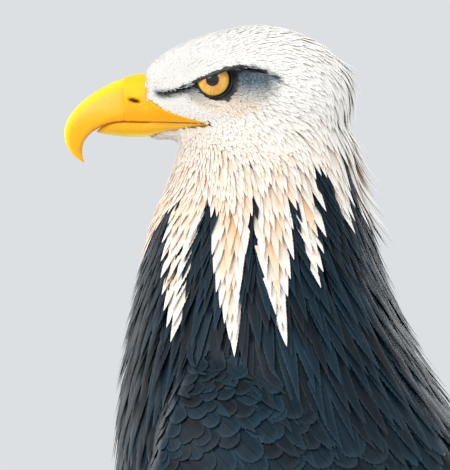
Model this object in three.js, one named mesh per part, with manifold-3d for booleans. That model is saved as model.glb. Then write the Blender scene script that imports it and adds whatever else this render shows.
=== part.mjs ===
// An adult bald eagle, standing upright on flat ground with its wings folded and its head level.
// Millimetres, +Z up. The bird faces -Y, its left side is +X, and the floor is z = 0.
// Each sub-part is the closed outer form of its feathers, skin or horn.

import * as THREE from 'three';
import { LoftGeometry } from 'three/addons/geometries/LoftGeometry.js';
import { mergeVertices } from 'three/addons/utils/BufferGeometryUtils.js';
import Module from 'manifold-3d';

const wasm = await Module();
wasm.setup();

// ---------------------------------------------------------------- driving dimensions

const EYE_HEIGHT = 654; // centre of the eye above the floor
const EYE_FORWARD = 80; // centre of the eye ahead of the feet
const EYE_SIDE = 20.5; // centre of the eyeball from the middle of the head
const EYEBALL_RADIUS = 12.5;
const BROW_RADIUS = 4.7;

const TAIL_LENGTH = 240; // visible tail, from the end of its coverts
const TAIL_BASE = { forward: -160, up: 208 };
const TAIL_SLOPE = THREE.MathUtils.degToRad(53); // below level
const TAIL_THICKNESS = { base: 24, tip: 5 };
const TAIL_HALF_WIDTH = { base: 27, tip: 57 };
const TAIL_ROUND_FROM = 0.5; // share of the length where the round end's centre is

const STANCE_HALF_WIDTH = 58; // each foot from the middle plane
const TARSUS_LENGTH = 92;
const TARSUS_LEAN = THREE.MathUtils.degToRad(17); // heel behind the foot
const TOE_THICKNESS = 17;
const TOE_SINK = 0.9; // how far the round pads are cut flat by the floor

const GAP = 0.35; // between pieces that meet

// Toes of the left foot: the way each points (0 is ahead, positive outwards), its length and its claw.
const TOES = [
  { name: 'hallux', turn: 188, length: 42, claw: 41, width: 18.5 },
  { name: 'inner', turn: -27, length: 57, claw: 38, width: 18.5 },
  { name: 'middle', turn: 6, length: 80, claw: 34, width: 18 },
  { name: 'outer', turn: 46, length: 62, claw: 30, width: 16.5 },
];

// ---------------------------------------------------------------- materials

const plumage = (color) => new THREE.MeshStandardMaterial({ color, roughness: 0.85, metalness: 0 });
const whitePlumage = plumage(0xf2eee6);
const darkPlumage = plumage(0x2b2422);
const horn = new THREE.MeshStandardMaterial({ color: 0xf0b41e, roughness: 0.35, metalness: 0 });
const cereSkin = new THREE.MeshStandardMaterial({ color: 0xf3c02c, roughness: 0.5, metalness: 0 });
const footSkin = new THREE.MeshStandardMaterial({ color: 0xe9ae22, roughness: 0.6, metalness: 0 });
const blackHorn = new THREE.MeshStandardMaterial({ color: 0x1c1a1a, roughness: 0.3, metalness: 0 });
const eyeball = new THREE.MeshStandardMaterial({ color: 0xe9c65a, roughness: 0.08, metalness: 0 });

// ---------------------------------------------------------------- solids

// A closed geometry as a solid with its faces pointing out.
function solid(geometry) {
  const bare = new THREE.BufferGeometry();
  bare.setAttribute('position', geometry.getAttribute('position'));
  bare.setIndex(geometry.getIndex());
  const merged = mergeVertices(bare, 1e-3);
  const corners = merged.index.array;
  const kept = [];
  for (let i = 0; i < corners.length; i += 3) {
    const [a, b, c] = [corners[i], corners[i + 1], corners[i + 2]];
    if (a !== b && b !== c && c !== a) kept.push(a, b, c);
  }
  const build = (triangles) =>
    new wasm.Manifold(
      new wasm.Mesh({
        numProp: 3,
        vertProperties: new Float32Array(merged.attributes.position.array),
        triVerts: new Uint32Array(triangles),
      }),
    );
  const made = build(kept);
  return made.volume() > 0 ? made : build(kept.reverse());
}

// A solid back as a flat-shaded geometry.
function geometryOf(body) {
  const mesh = body.getMesh();
  const points = new Float32Array(mesh.numVert * 3);
  for (let i = 0; i < mesh.numVert; i++)
    points.set(mesh.vertProperties.subarray(i * mesh.numProp, i * mesh.numProp + 3), i * 3);
  const geometry = new THREE.BufferGeometry();
  geometry.setAttribute('position', new THREE.BufferAttribute(points, 3));
  geometry.setIndex(new THREE.BufferAttribute(mesh.triVerts, 1));
  const flat = geometry.toNonIndexed();
  flat.computeVertexNormals();
  return flat;
}

// The largest of the bodies that a cut leaves.
function largest(body) {
  const bodies = body.decompose();
  return bodies.reduce((best, next) => (next.volume() > best.volume() ? next : best));
}

const cutBy = (body, ...cutters) => largest(cutters.reduce((left, cutter) => left.subtract(cutter), body));

// A point of the bird: how far ahead of the feet, above the floor and to its left.
const place = (forward, up, side = 0) => new THREE.Vector3(side, -forward, up);

// The same, measured from the eye's place in the middle plane.
const fromEye = (forward, up) => [forward + EYE_FORWARD, up + EYE_HEIGHT];

// A body skinned through oval rings. Each station is one ring: two points of the profile that it joins, as
// [forward, up], its half width, the distance of its middle from the middle plane, and how far its two
// ends are tucked in towards that plane.
// square is 1 for an ellipse and less for a boxier ring. grow makes all of it larger by that much.
function outlineLoft(stations, { rows, columns, square = 1, grow = 0 }) {
  const along = (pick) => new THREE.CatmullRomCurve3(stations.map(pick), false, 'centripetal');
  const first = along((s) => place(...s.a));
  const second = along((s) => place(...s.b));
  const sizes = along((s) => new THREE.Vector3(s.half, s.side ?? 0, 0));
  const tucks = along((s) => new THREE.Vector3(...(s.tuck ?? [0, 0]), 0));
  const shaped = (x) => Math.sign(x) * Math.abs(x) ** square;
  const sections = [];
  for (let i = 0; i <= rows; i++) {
    const t = i / rows;
    const a = first.getPoint(t);
    const b = second.getPoint(t);
    const { x: half, y: side } = sizes.getPoint(t);
    const { x: tuckA, y: tuckB } = tucks.getPoint(t);
    const middle = a.clone().add(b).multiplyScalar(0.5);
    const arm = a.clone().sub(b).multiplyScalar(0.5);
    arm.setLength(arm.length() + grow);
    const ring = [];
    for (let j = 0; j < columns; j++) {
      const angle = (j / columns) * 2 * Math.PI;
      const across = shaped(Math.cos(angle));
      const tuck = (across > 0 ? tuckA : tuckB) * across ** 2;
      const point = middle.clone().addScaledVector(arm, across);
      point.x = side - tuck + (half + grow) * shaped(Math.sin(angle));
      ring.push(point);
    }
    sections.push(ring);
  }
  // Each end moves out by grow as well, and closes on its own middle.
  const centre = (ring) => ring.reduce((sum, p) => sum.add(p), new THREE.Vector3()).divideScalar(columns);
  const closed = (ring, next) => {
    const away = centre(ring).sub(centre(next)).setLength(grow);
    ring.forEach((p) => p.add(away));
    return new Array(columns).fill(centre(ring));
  };
  const start = closed(sections[0], sections[1]);
  const end = closed(sections[rows], sections[rows - 1]);
  return solid(new LoftGeometry([start, ...sections, end]));
}

// An ellipsoid with these half sizes, as [side, forward, up].
function ellipsoid(centre, [side, forward, up], segments = 20) {
  const ball = new THREE.SphereGeometry(1, segments, Math.round(segments * 0.6));
  ball.scale(side, forward, up);
  ball.translate(centre.x, centre.y, centre.z);
  return solid(ball);
}

// A large box that holds everything on one side of a plane.
function halfSpace(point, normal) {
  const size = 2000;
  const box = new THREE.BoxGeometry(size, size, size);
  box.translate(0, 0, size / 2);
  box.applyQuaternion(new THREE.Quaternion().setFromUnitVectors(new THREE.Vector3(0, 0, 1), normal));
  box.translate(point.x, point.y, point.z);
  return solid(box);
}

// Parts a body at a plane and returns [the side that the normal points to, the other side].
function parted(body, point, normal) {
  const n = normal.clone().normalize();
  const half = GAP / 2;
  const ahead = halfSpace(point.clone().addScaledVector(n, half), n);
  const behind = halfSpace(point.clone().addScaledVector(n, -half), n.clone().negate());
  return [largest(body.intersect(ahead)), largest(body.intersect(behind))];
}

const mirrored = (body) => {
  const geometry = geometryOf(body);
  geometry.scale(-1, 1, 1);
  return solid(geometry);
};

// ---------------------------------------------------------------- trunk and neck

// Breast point, back point and half width of each ring, from the vent to inside the head.
const BODY_STATIONS = [
  { a: [-140, 180], b: [-186, 222], half: 27 },
  { a: [-92, 180], b: [-172, 262], half: 52 },
  { a: [-38, 194], b: [-150, 306], half: 72 },
  { a: [22, 226], b: [-126, 353], half: 87 },
  { a: [76, 278], b: [-100, 400], half: 96 },
  { a: [113, 339], b: [-73, 443], half: 99 },
  { a: [131, 400], b: [-48, 482], half: 96 },
  { a: [135, 454], b: [-28, 517], half: 88 },
  { a: [131, 502], b: [-15, 548], half: 76 },
  { a: [124, 542], b: [-8, 572], half: 63 },
  { a: [116, 575], b: [-2, 594], half: 52 },
  { a: [105, 603], b: [2, 616], half: 43.5 },
  { a: [98, 626], b: [8, 636], half: 36 },
];

const wholeBody = (grow) => outlineLoft(BODY_STATIONS, { rows: 20, columns: 18, square: 0.94, grow });

// ---------------------------------------------------------------- head and bill

// Crown point, lower point and half width of each ring, from the nape to the cere.
const HEAD_STATIONS = [
  { a: fromEye(-77, -8), b: fromEye(-75, -16), half: 5 },
  { a: fromEye(-73, 6), b: fromEye(-68, -32), half: 20 },
  { a: fromEye(-64, 17), b: fromEye(-58, -44), half: 29 },
  { a: fromEye(-48, 26.5), b: fromEye(-44, -49), half: 35.5 },
  { a: fromEye(-26, 31.5), b: fromEye(-25, -47), half: 37.5 },
  { a: fromEye(-6, 29), b: fromEye(-4, -40), half: 34.5 },
  { a: fromEye(10, 24.5), b: fromEye(13, -34), half: 28.5 },
  { a: fromEye(22, 19.5), b: fromEye(24, -31), half: 22 },
  { a: fromEye(31, 13.8), b: fromEye(32, -28.5), half: 17 },
  { a: fromEye(37.5, 7.6), b: fromEye(38.5, -25), half: 13.5 },
];

const UPPER_BILL_STATIONS = [
  { a: fromEye(50, 2.2), b: fromEye(50, -20.7), half: 11.7 },
  { a: fromEye(58, -1.2), b: fromEye(55.5, -21.2), half: 10.9 },
  { a: fromEye(66.5, -6.2), b: fromEye(61, -23.6), half: 9.4 },
  { a: fromEye(75.3, -13.6), b: fromEye(66.2, -27.2), half: 7.3 },
  { a: fromEye(81.2, -22), b: fromEye(69.6, -31.2), half: 5.2 },
  { a: fromEye(82.2, -30.4), b: fromEye(71.8, -35.8), half: 3.3 },
  { a: fromEye(78.6, -37.8), b: fromEye(72.3, -39.8), half: 1.8 },
  { a: fromEye(71.6, -43.4), b: fromEye(70.8, -43), half: 0.5 },
];

// The cere is a wedge: its hind edge slopes back from the forehead to the corner of the mouth.
const CERE_STATIONS = [
  { a: fromEye(49.6, 2.3), b: fromEye(49.6, -20.7), half: 11.8 },
  { a: fromEye(44, 4.2), b: fromEye(40, -20.9), half: 13.4 },
  { a: fromEye(38, 4.6), b: fromEye(30, -21.1), half: 16 },
  { a: fromEye(31, -3), b: fromEye(20, -21.4), half: 19.6 },
  { a: fromEye(21, -11.5), b: fromEye(10, -22), half: 24 },
  { a: fromEye(9, -18.2), b: fromEye(3, -22.5), half: 28 },
  { a: fromEye(2.5, -20.8), b: fromEye(0.5, -22.6), half: 29.4 },
];

const LOWER_BILL_STATIONS = [
  { a: fromEye(10, -22), b: fromEye(12, -28), half: 24 },
  { a: fromEye(26, -21.6), b: fromEye(27, -31.4), half: 16 },
  { a: fromEye(41, -21.2), b: fromEye(41, -32), half: 11.6 },
  { a: fromEye(53, -21.6), b: fromEye(53, -31), half: 9 },
  { a: fromEye(61, -24.2), b: fromEye(60.5, -29.6), half: 6 },
  { a: fromEye(65, -27.6), b: fromEye(64.8, -28.6), half: 1.6 },
];

const upperBill = (grow) => outlineLoft(UPPER_BILL_STATIONS, { rows: 10, columns: 10, grow });
const cereForm = (grow) => outlineLoft(CERE_STATIONS, { rows: 6, columns: 10, grow });
const lowerBill = (grow) => outlineLoft(LOWER_BILL_STATIONS, { rows: 6, columns: 8, grow });

function eyeForm(sign, grow) {
  const r = EYEBALL_RADIUS + grow;
  return ellipsoid(place(EYE_FORWARD, EYE_HEIGHT, sign * EYE_SIDE), [r, r, r], 12);
}

// The shallow bowl in which the eye sits, under the brow.
const orbit = (sign) => ellipsoid(place(...fromEye(2, -2.5), sign * 40), [10, 17, 10.5], 10);

// The bony ridge over the eye, low in front and higher behind.
function brow(sign) {
  const r = BROW_RADIUS;
  const ridge = [
    { at: fromEye(30, -1.5), side: 15.5, r: 0.5 * r },
    { at: fromEye(18, 3.6), side: 23.2, r: 0.85 * r },
    { at: fromEye(6, 8.5), side: 29.3, r },
    { at: fromEye(-8, 13), side: 32, r },
    { at: fromEye(-22, 13.8), side: 32, r: 0.7 * r },
    { at: fromEye(-32, 10.5), side: 31.5, r: 0.35 * r },
  ];
  return outlineLoft(
    ridge.map(({ at: [f, u], side, r: half }) => ({ a: [f, u + half], b: [f, u - half], half, side: sign * side })),
    { rows: 6, columns: 6 },
  );
}

const cranium = (grow) => outlineLoft(HEAD_STATIONS, { rows: 11, columns: 16, square: 0.95, grow });

function headForm() {
  const ridged = cranium(0).add(brow(1)).add(brow(-1));
  const cutters = [orbit(1), orbit(-1), eyeForm(1, GAP), eyeForm(-1, GAP), cereForm(GAP), lowerBill(GAP), upperBill(GAP)];
  return cutBy(ridged, ...cutters);
}

const nostril = (sign) => ellipsoid(place(...fromEye(43.5, -8.5), sign * 13.6), [2.6, 3.2, 1.5], 6);

// ---------------------------------------------------------------- tail

const tailWay = new THREE.Vector2(-Math.cos(TAIL_SLOPE), -Math.sin(TAIL_SLOPE));
const tailUp = new THREE.Vector2(-Math.sin(TAIL_SLOPE), Math.cos(TAIL_SLOPE));

// A point of the tail's profile: its distance from the base and from the tail's middle surface.
const onTail = (distance, above) => [
  TAIL_BASE.forward + tailWay.x * distance + tailUp.x * above,
  TAIL_BASE.up + tailWay.y * distance + tailUp.y * above,
];

function tailForm(grow = 0) {
  const { base, tip } = TAIL_THICKNESS;
  const stations = [-0.08, 0.25, 0.6, 1.02].map((share) => {
    const thick = THREE.MathUtils.lerp(base, tip, Math.max(share, 0) ** 0.6);
    const wide = THREE.MathUtils.lerp(TAIL_HALF_WIDTH.base, TAIL_HALF_WIDTH.tip, Math.max(share, 0));
    const distance = share * TAIL_LENGTH;
    return { a: onTail(distance, thick / 2), b: onTail(distance, -thick / 2), half: wide };
  });
  const fan = outlineLoft(stations, { rows: 6, columns: 12, square: 0.6, grow });
  // The outer feathers are a little shorter, so the end is an arc about a point partway down the tail.
  const radius = (1 - TAIL_ROUND_FROM) * TAIL_LENGTH + grow;
  const arc = ellipsoid(place(...onTail(TAIL_ROUND_FROM * TAIL_LENGTH, 0)), [radius, radius, radius], 40);
  const upperHalf = halfSpace(place(...onTail(0.7 * TAIL_LENGTH, 0)), place(-tailWay.x, -tailWay.y));
  return fan.intersect(arc.add(upperHalf));
}

// ---------------------------------------------------------------- wings

// Upper edge, lower edge, half thickness and place of each ring of the left wing, from the wrist to the tip.
const WING_STATIONS = [
  { a: [108, 478], b: [112, 458], half: 6, side: 72, tuck: [3, 3] },
  { a: [92, 508], b: [119, 420], half: 17, side: 80, tuck: [24, 10] },
  { a: [52, 522], b: [106, 372], half: 21, side: 86, tuck: [40, 10] },
  { a: [2, 508], b: [78, 322], half: 22, side: 89, tuck: [54, 12] },
  { a: [-42, 462], b: [42, 274], half: 22, side: 88, tuck: [56, 15] },
  { a: [-77, 408], b: [-4, 231], half: 21, side: 81, tuck: [54, 14] },
  { a: [-111, 352], b: [-52, 192], half: 19, side: 71, tuck: [50, 12] },
  { a: [-148, 297], b: [-104, 160], half: 17, side: 60, tuck: [45, 8] },
  { a: [-191, 236], b: [-157, 130], half: 14, side: 48, tuck: [36, 4] },
  { a: [-232, 174], b: [-206, 103], half: 11, side: 38, tuck: [26, 2] },
  { a: [-269, 118], b: [-251, 80], half: 7, side: 30, tuck: [16, 0] },
  { a: [-291, 73], b: [-285, 64], half: 3, side: 25, tuck: [8, 0] },
];

const wingForm = (grow) => outlineLoft(WING_STATIONS, { rows: 16, columns: 12, square: 0.85, grow });

// The folded wing parts into the arm with its coverts, the secondaries and the primaries.
const COVERTS_END = { at: place(-10, 360), normal: new THREE.Vector3(0, -0.8, 0.6) };
const SECONDARIES_END = { at: place(-136, 210), normal: new THREE.Vector3(0, -0.7, 0.71) };

// ---------------------------------------------------------------- legs

const THIGH_STATIONS = [
  { a: [52, 326], b: [-62, 302], half: 26, side: 44 },
  { a: [80, 272], b: [-76, 250], half: 41, side: 50 },
  { a: [76, 222], b: [-77, 200], half: 43, side: 54 },
  { a: [57, 177], b: [-71, 157], half: 39, side: 57 },
  { a: [34, 138], b: [-62, 122], half: 32, side: 58 },
  { a: [14, 105], b: [-53, 92], half: 22.5, side: 58 },
  { a: [-3, 80], b: [-42, 73], half: 12, side: 58 },
];

const thighForm = (grow) => outlineLoft(THIGH_STATIONS, { rows: 9, columns: 12, grow });

const heel = {
  forward: -TARSUS_LENGTH * Math.sin(TARSUS_LEAN),
  up: TARSUS_LENGTH * Math.cos(TARSUS_LEAN) + TOE_THICKNESS,
};
const footCentre = place(0, 0, STANCE_HALF_WIDTH);

// The bare shank, from the ball of the foot up into the thigh's feathers.
function tarsusForm(grow = 0) {
  const radii = [11, 9.2, 8.6, 9.2, 11];
  const stations = radii.map((r, i) => {
    const share = i / (radii.length - 1);
    const forward = heel.forward * share;
    const up = THREE.MathUtils.lerp(10, heel.up, share);
    return { a: [forward + r * 1.15, up], b: [forward - r * 1.15, up - 2], half: r, side: STANCE_HALF_WIDTH };
  });
  const shank = outlineLoft(stations, { rows: 4, columns: 8, grow });
  const ball = ellipsoid(place(-1, 9, STANCE_HALF_WIDTH), [15.5 + grow, 17 + grow, 11 + grow], 8);
  return shank.add(ball);
}

// A toe lies along the floor on its pads and lifts a little before the claw.
function toeForm({ turn, length, width }, grow = 0) {
  const thick = TOE_THICKNESS;
  const swell = [0.9, 1, 0.86, 1, 0.84, 0.95, 0.8];
  const stations = swell.map((share, i) => {
    const along = i / (swell.length - 1);
    const tall = thick * (1 - 0.16 * along) * share;
    const bottom = -TOE_SINK + (1 - share) * 7 + 2.6 * Math.max(0, along - 0.8) * 5;
    const forward = 6 + along * length;
    return { a: [forward, bottom + tall], b: [forward, bottom], half: (width / 2) * share };
  });
  return turned(outlineLoft(stations, { rows: 6, columns: 8, square: 0.9, grow }), turn);
}

// A claw springs from the toe's end and curves down in an arc until its tip is just clear of the floor.
function clawForm({ turn, length, claw }, grow = 0) {
  const start = { forward: 4 + length, up: 9.5 };
  const rise = THREE.MathUtils.degToRad(32); // the way the claw leaves the toe, above level
  const sweep = THREE.MathUtils.degToRad(98); // how far it turns down along its length
  const radius = claw / (2 * Math.sin(sweep / 2));
  const steps = 7;
  const stations = [];
  for (let i = 0; i <= steps; i++) {
    const share = i / steps;
    const way = rise - sweep * share;
    const centre = {
      forward: start.forward + radius * (Math.sin(rise) - Math.sin(way)),
      up: start.up + radius * (Math.cos(way) - Math.cos(rise)),
    };
    const half = 5.6 * (1 - share) ** 0.75 + 0.35;
    const [across, lift] = [Math.sin(way) * half, Math.cos(way) * half];
    stations.push({
      a: [centre.forward - across, centre.up + lift],
      b: [centre.forward + across, centre.up - lift],
      half: half * 0.78,
    });
  }
  return turned(outlineLoft(stations, { rows: 6, columns: 6, grow }), turn);
}

// Turns a piece that points ahead to its own heading, at the left foot.
function turned(body, degrees) {
  const geometry = geometryOf(body);
  geometry.rotateZ(THREE.MathUtils.degToRad(degrees));
  geometry.translate(footCentre.x, footCentre.y, footCentre.z);
  return solid(geometry);
}

const aboveFloor = halfSpace(place(0, 0), new THREE.Vector3(0, 0, 1));
const trimmed = (body) => largest(body.intersect(aboveFloor));

// ---------------------------------------------------------------- assembly

const eagle = new THREE.Group();

function add(name, body, material) {
  const mesh = new THREE.Mesh(geometryOf(body), material);
  mesh.name = name;
  eagle.add(mesh);
}

// Adds a left piece and its mirror image, each cut by whatever it meets.
function addPair(name, leftBody, material, cutters = []) {
  add(name.replace('SIDE', 'left'), cutBy(leftBody, ...cutters), material);
  add(name.replace('SIDE', 'right'), cutBy(mirrored(leftBody), ...cutters), material);
}

function buildHead() {
  add('head', headForm(), whitePlumage);
  add('cere', cutBy(cereForm(0), upperBill(GAP), lowerBill(GAP), nostril(1), nostril(-1)), cereSkin);
  add('bill_upper', upperBill(0), horn);
  add('bill_lower', cutBy(lowerBill(0), upperBill(GAP)), horn);
  add('eye_left', eyeForm(1, 0), eyeball);
  add('eye_right', eyeForm(-1, 0), eyeball);
}

function buildBody() {
  const [neckEnd, trunk] = parted(wholeBody(0), place(60, 556), new THREE.Vector3(0, -0.28, 0.96));
  add('neck', cutBy(neckEnd, cranium(GAP), lowerBill(GAP), cereForm(GAP)), whitePlumage);
  add('trunk', cutBy(trunk, tailForm(GAP)), darkPlumage);
  add('tail', tailForm(), whitePlumage);
}

function buildWings() {
  const [coverts, rest] = parted(wingForm(0), COVERTS_END.at, COVERTS_END.normal);
  const [secondaries, primaries] = parted(rest, SECONDARIES_END.at, SECONDARIES_END.normal);
  const inner = [wholeBody(GAP), tailForm(GAP)];
  addPair('wing_SIDE_coverts', coverts, darkPlumage, inner);
  addPair('wing_SIDE_secondaries', secondaries, darkPlumage, inner);
  addPair('wing_SIDE_primaries', primaries, darkPlumage, inner);
}

function buildLegs() {
  const inner = [wholeBody(GAP), wingForm(GAP), mirrored(wingForm(GAP))];
  addPair('thigh_SIDE', thighForm(0), darkPlumage, inner);
  addPair('tarsus_SIDE', cutBy(trimmed(tarsusForm()), thighForm(GAP)), footSkin);
  const done = [tarsusForm(GAP)];
  for (const toe of TOES) {
    addPair(`toe_SIDE_${toe.name}`, cutBy(trimmed(toeForm(toe)), ...done, clawForm(toe, GAP)), footSkin);
    addPair(`claw_SIDE_${toe.name}`, trimmed(clawForm(toe)), blackHorn);
    done.push(toeForm(toe, GAP));
  }
}

buildHead();
buildBody();
buildWings();
buildLegs();

// The origin is on the floor, under the middle of the whole bird.
const bounds = new THREE.Box3().setFromObject(eagle);
const centre = bounds.getCenter(new THREE.Vector3());
eagle.position.set(-centre.x, -centre.y, -bounds.min.z);

export default eagle;
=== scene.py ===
import math
from functools import partial
from itertools import product

import bpy
import numpy as np
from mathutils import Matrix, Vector
from mathutils.bvhtree import BVHTree
from mathutils.kdtree import KDTree


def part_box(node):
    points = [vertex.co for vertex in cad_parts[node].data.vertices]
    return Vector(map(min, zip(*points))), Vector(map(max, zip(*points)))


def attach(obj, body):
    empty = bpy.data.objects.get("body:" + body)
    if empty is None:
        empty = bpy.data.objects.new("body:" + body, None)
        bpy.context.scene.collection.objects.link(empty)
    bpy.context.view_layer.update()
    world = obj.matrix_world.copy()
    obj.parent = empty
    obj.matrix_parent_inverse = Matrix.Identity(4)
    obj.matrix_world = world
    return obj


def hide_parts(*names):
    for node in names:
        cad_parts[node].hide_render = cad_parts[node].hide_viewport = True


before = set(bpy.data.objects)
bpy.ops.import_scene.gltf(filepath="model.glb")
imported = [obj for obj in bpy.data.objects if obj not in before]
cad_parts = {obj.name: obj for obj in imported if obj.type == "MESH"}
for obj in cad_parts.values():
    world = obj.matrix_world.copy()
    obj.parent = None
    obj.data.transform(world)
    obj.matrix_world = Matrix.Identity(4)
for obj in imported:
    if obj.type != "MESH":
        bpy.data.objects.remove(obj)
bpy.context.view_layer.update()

random = np.random.default_rng(11)

# Every shape is worked out in millimetres as [side, ahead, up]: left of the middle plane, ahead of the feet
# and above the floor. The bird faces -Y, so toMetres turns the second number round.
eyeAt = np.array([20.5, 80.0, 654.0])  # centre of the left eyeball
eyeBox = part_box("eye_left")
footY = (eyeBox[0].y + eyeBox[1].y) / 2 * 1000 + eyeAt[1]  # where the feet are along Y


def toMetres(points):
    points = np.asarray(points, float)
    return np.stack([points[..., 0], footY - points[..., 1], points[..., 2]], -1) / 1000


def smoothStep(low, high, x):
    share = np.clip((x - low) / (high - low), 0, 1)
    return share * share * (3 - 2 * share)


def unit(v):
    return v / np.maximum(np.linalg.norm(v, axis=-1, keepdims=True), 1e-9)


# the direction of v, laid flat against a surface
def flattened(v, normal):
    return unit(v - normal * (v * normal).sum(-1, keepdims=True))


def onceRound(count):
    return np.arange(count) / count * 2 * math.pi


# hex colour to linear light
def srgb(code):
    parts = [int(code[i:i + 2], 16) / 255 for i in (1, 3, 5)]
    return [c / 12.92 if c < 0.04045 else ((c + 0.055) / 1.055) ** 2.4 for c in parts] + [1.0]


viewing = {"distance": 1600.0, "tall": 256.2, "aimAhead": 74.5, "aimUp": 571.0, "sensor": 36}


def setCamera():
    camera = bpy.data.objects.new("camera", bpy.data.cameras.new("camera"))
    bpy.context.scene.collection.objects.link(camera)
    camera.location = toMetres([viewing["distance"], viewing["aimAhead"], viewing["aimUp"]])
    camera.rotation_euler = (math.pi / 2, 0, math.pi / 2)
    camera.data.sensor_width = viewing["sensor"]
    camera.data.lens = viewing["sensor"] * viewing["distance"] / viewing["tall"]
    camera.data.clip_start, camera.data.clip_end = 0.05, 40
    bpy.context.scene.camera = camera


setCamera()
print("camera placed")

# Each ring is an oval through two points of the profile, both as ahead and up, and has a half width. Then may
# come how far its middle is from the middle plane, and how far its two ends are tucked in towards that plane.
# Deep is how far under each ring the skin lies, and square is below 1 for a ring with fuller corners.
trunk = {"square": 0.94, "deep": (5, 8, 9, 9, 9, 9, 9, 9, 9, 8.5, 7.5, 6, 4.5), "rings": [
    (-140, 180, -186, 222, 27), (-92, 180, -172, 262, 52), (-38, 194, -150, 306, 72), (22, 226, -126, 353, 87),
    (76, 278, -100, 400, 96), (113, 339, -73, 443, 99), (131, 400, -48, 482, 96), (135, 454, -28, 517, 88),
    (131, 502, -15, 548, 76), (124, 542, -8, 572, 63), (116, 575, -2, 594, 52), (105, 603, 2, 616, 43.5),
    (98, 626, 8, 636, 36),
]}
head = {"square": 0.95, "deep": (4, 4, 3.6, 3.2, 2.6, 2.0, 1.6, 1.4, 1.2, 1.0), "rings": np.array([
    (-77, -8, -75, -16, 5), (-73, 6, -68, -32, 20), (-64, 17, -58, -44, 29), (-48, 26.5, -44, -49, 35.5),
    (-26, 31.5, -25, -47, 37.5), (-6, 29, -4, -40, 34.5), (10, 24.5, 13, -34, 28.5), (22, 19.5, 24, -31, 22),
    (31, 13.8, 32, -31.2, 17), (37.5, 7.6, 37.6, -29.5, 13.5),
]) + [*eyeAt[1:], *eyeAt[1:], 0]}
wing = {"square": 0.85, "deep": (3, 4, 5, 5, 5, 5, 5, 5), "rings": [
    (108, 478, 112, 458, 6, 72, 3, 3), (92, 508, 119, 420, 17, 80, 24, 10), (52, 522, 106, 372, 21, 86, 40, 10),
    (2, 508, 78, 322, 22, 89, 54, 12), (-42, 462, 42, 274, 22, 88, 56, 15), (-77, 408, -4, 231, 21, 81, 54, 14),
    (-111, 352, -52, 192, 19, 71, 50, 12), (-148, 297, -104, 160, 17, 60, 45, 8),
    (-191, 236, -157, 130, 14, 48, 36, 4), (-232, 174, -206, 103, 11, 38, 26, 2),
    (-269, 118, -251, 80, 7, 30, 16, 0), (-291, 73, -285, 64, 3, 25, 8, 0),
]}
thigh = {"square": 1.0, "deep": (6, 8, 8, 8, 8, 6, 2), "rings": [
    (52, 326, -62, 302, 26, 44), (80, 272, -76, 250, 41, 50), (76, 222, -77, 200, 43, 54),
    (57, 177, -71, 157, 39, 57), (34, 138, -62, 122, 32, 58), (14, 105, -53, 92, 22.5, 58),
    (-3, 80, -42, 73, 12, 58),
]}
tail = {"ahead": -160, "up": 208, "slope": math.radians(53), "length": 240}


def splineAt(values, t):
    p = np.asarray(values, float)
    p = np.vstack([2 * p[0] - p[1], p, 2 * p[-1] - p[-2]])
    t = np.clip(t, 0, 1) * (len(values) - 1)
    i = np.minimum(t.astype(int), len(values) - 2)
    w = (t - i)[:, None]
    x0, x1, x2, x3 = (p[i + k] for k in range(4))
    d0, d1, d2 = (np.maximum(np.linalg.norm(v - u, axis=1, keepdims=True), 1e-8) ** 0.5
                  for u, v in ((x0, x1), (x1, x2), (x2, x3)))
    d1 = np.where(d1 < 1e-3, 1.0, d1)
    d0, d2 = np.where(d0 < 1e-3, d1, d0), np.where(d2 < 1e-3, d1, d2)
    m1 = ((x1 - x0) / d0 - (x2 - x0) / (d0 + d1) + (x2 - x1) / d1) * d1
    m2 = ((x2 - x1) / d1 - (x3 - x1) / (d1 + d2) + (x3 - x2) / d2) * d1
    return x1 + m1 * w + (-3 * x1 + 3 * x2 - 2 * m1 - m2) * w ** 2 + (2 * x1 - 2 * x2 + m1 + m2) * w ** 3


# the two points, the half width with the side, and the tucks of the rings at each t
def ringsAt(rings, t):
    table = np.array([(*ring, 0, 0, 0)[:8] for ring in rings], float)
    return [splineAt(table[:, i:i + 2], t) for i in (0, 2, 4, 6)]


def ringGrid(rings, rows, columns, square=1.0, grow=0.0):
    t = np.linspace(0, 1, rows + 1)
    a, b, size, tuck = ringsAt(rings, t)
    if not np.isscalar(grow):
        grow = splineAt(grow[:, None], t)
    middle, arm = (a + b) / 2, (a - b) / 2
    reach = np.linalg.norm(arm, axis=1, keepdims=True)
    arm = arm * np.maximum(reach + grow, 1) / reach
    angle = onceRound(columns)
    across = np.sign(np.cos(angle)) * np.abs(np.cos(angle)) ** square
    out = np.sign(np.sin(angle)) * np.abs(np.sin(angle)) ** square
    points = np.zeros((rows + 1, columns, 3))
    points[..., 1:] = middle[:, None] + arm[:, None] * across[None, :, None]
    tucked = np.where(across[None] > 0, tuck[:, :1], tuck[:, 1:]) * across[None] ** 2
    points[..., 0] = size[:, 1:] - tucked + np.maximum(size[:, :1] + grow, 1) * out[None]
    return points


def closedLoft(points):
    rows, columns = points.shape[:2]
    verts = np.vstack([points.reshape(-1, 3), points[0].mean(0)[None], points[-1].mean(0)[None]])
    i, j = np.meshgrid(np.arange(rows - 1) * columns, np.arange(columns), indexing="ij")
    k = (j + 1) % columns
    faces = [tuple(q) for q in np.stack([i + j, i + k, i + columns + k, i + columns + j], -1).reshape(-1, 4)]
    last, start, end = (rows - 1) * columns, rows * columns, rows * columns + 1
    for j in range(columns):
        k = (j + 1) % columns
        faces += [(k, j, start), (last + j, last + k, end)]
    return verts, faces


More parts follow.
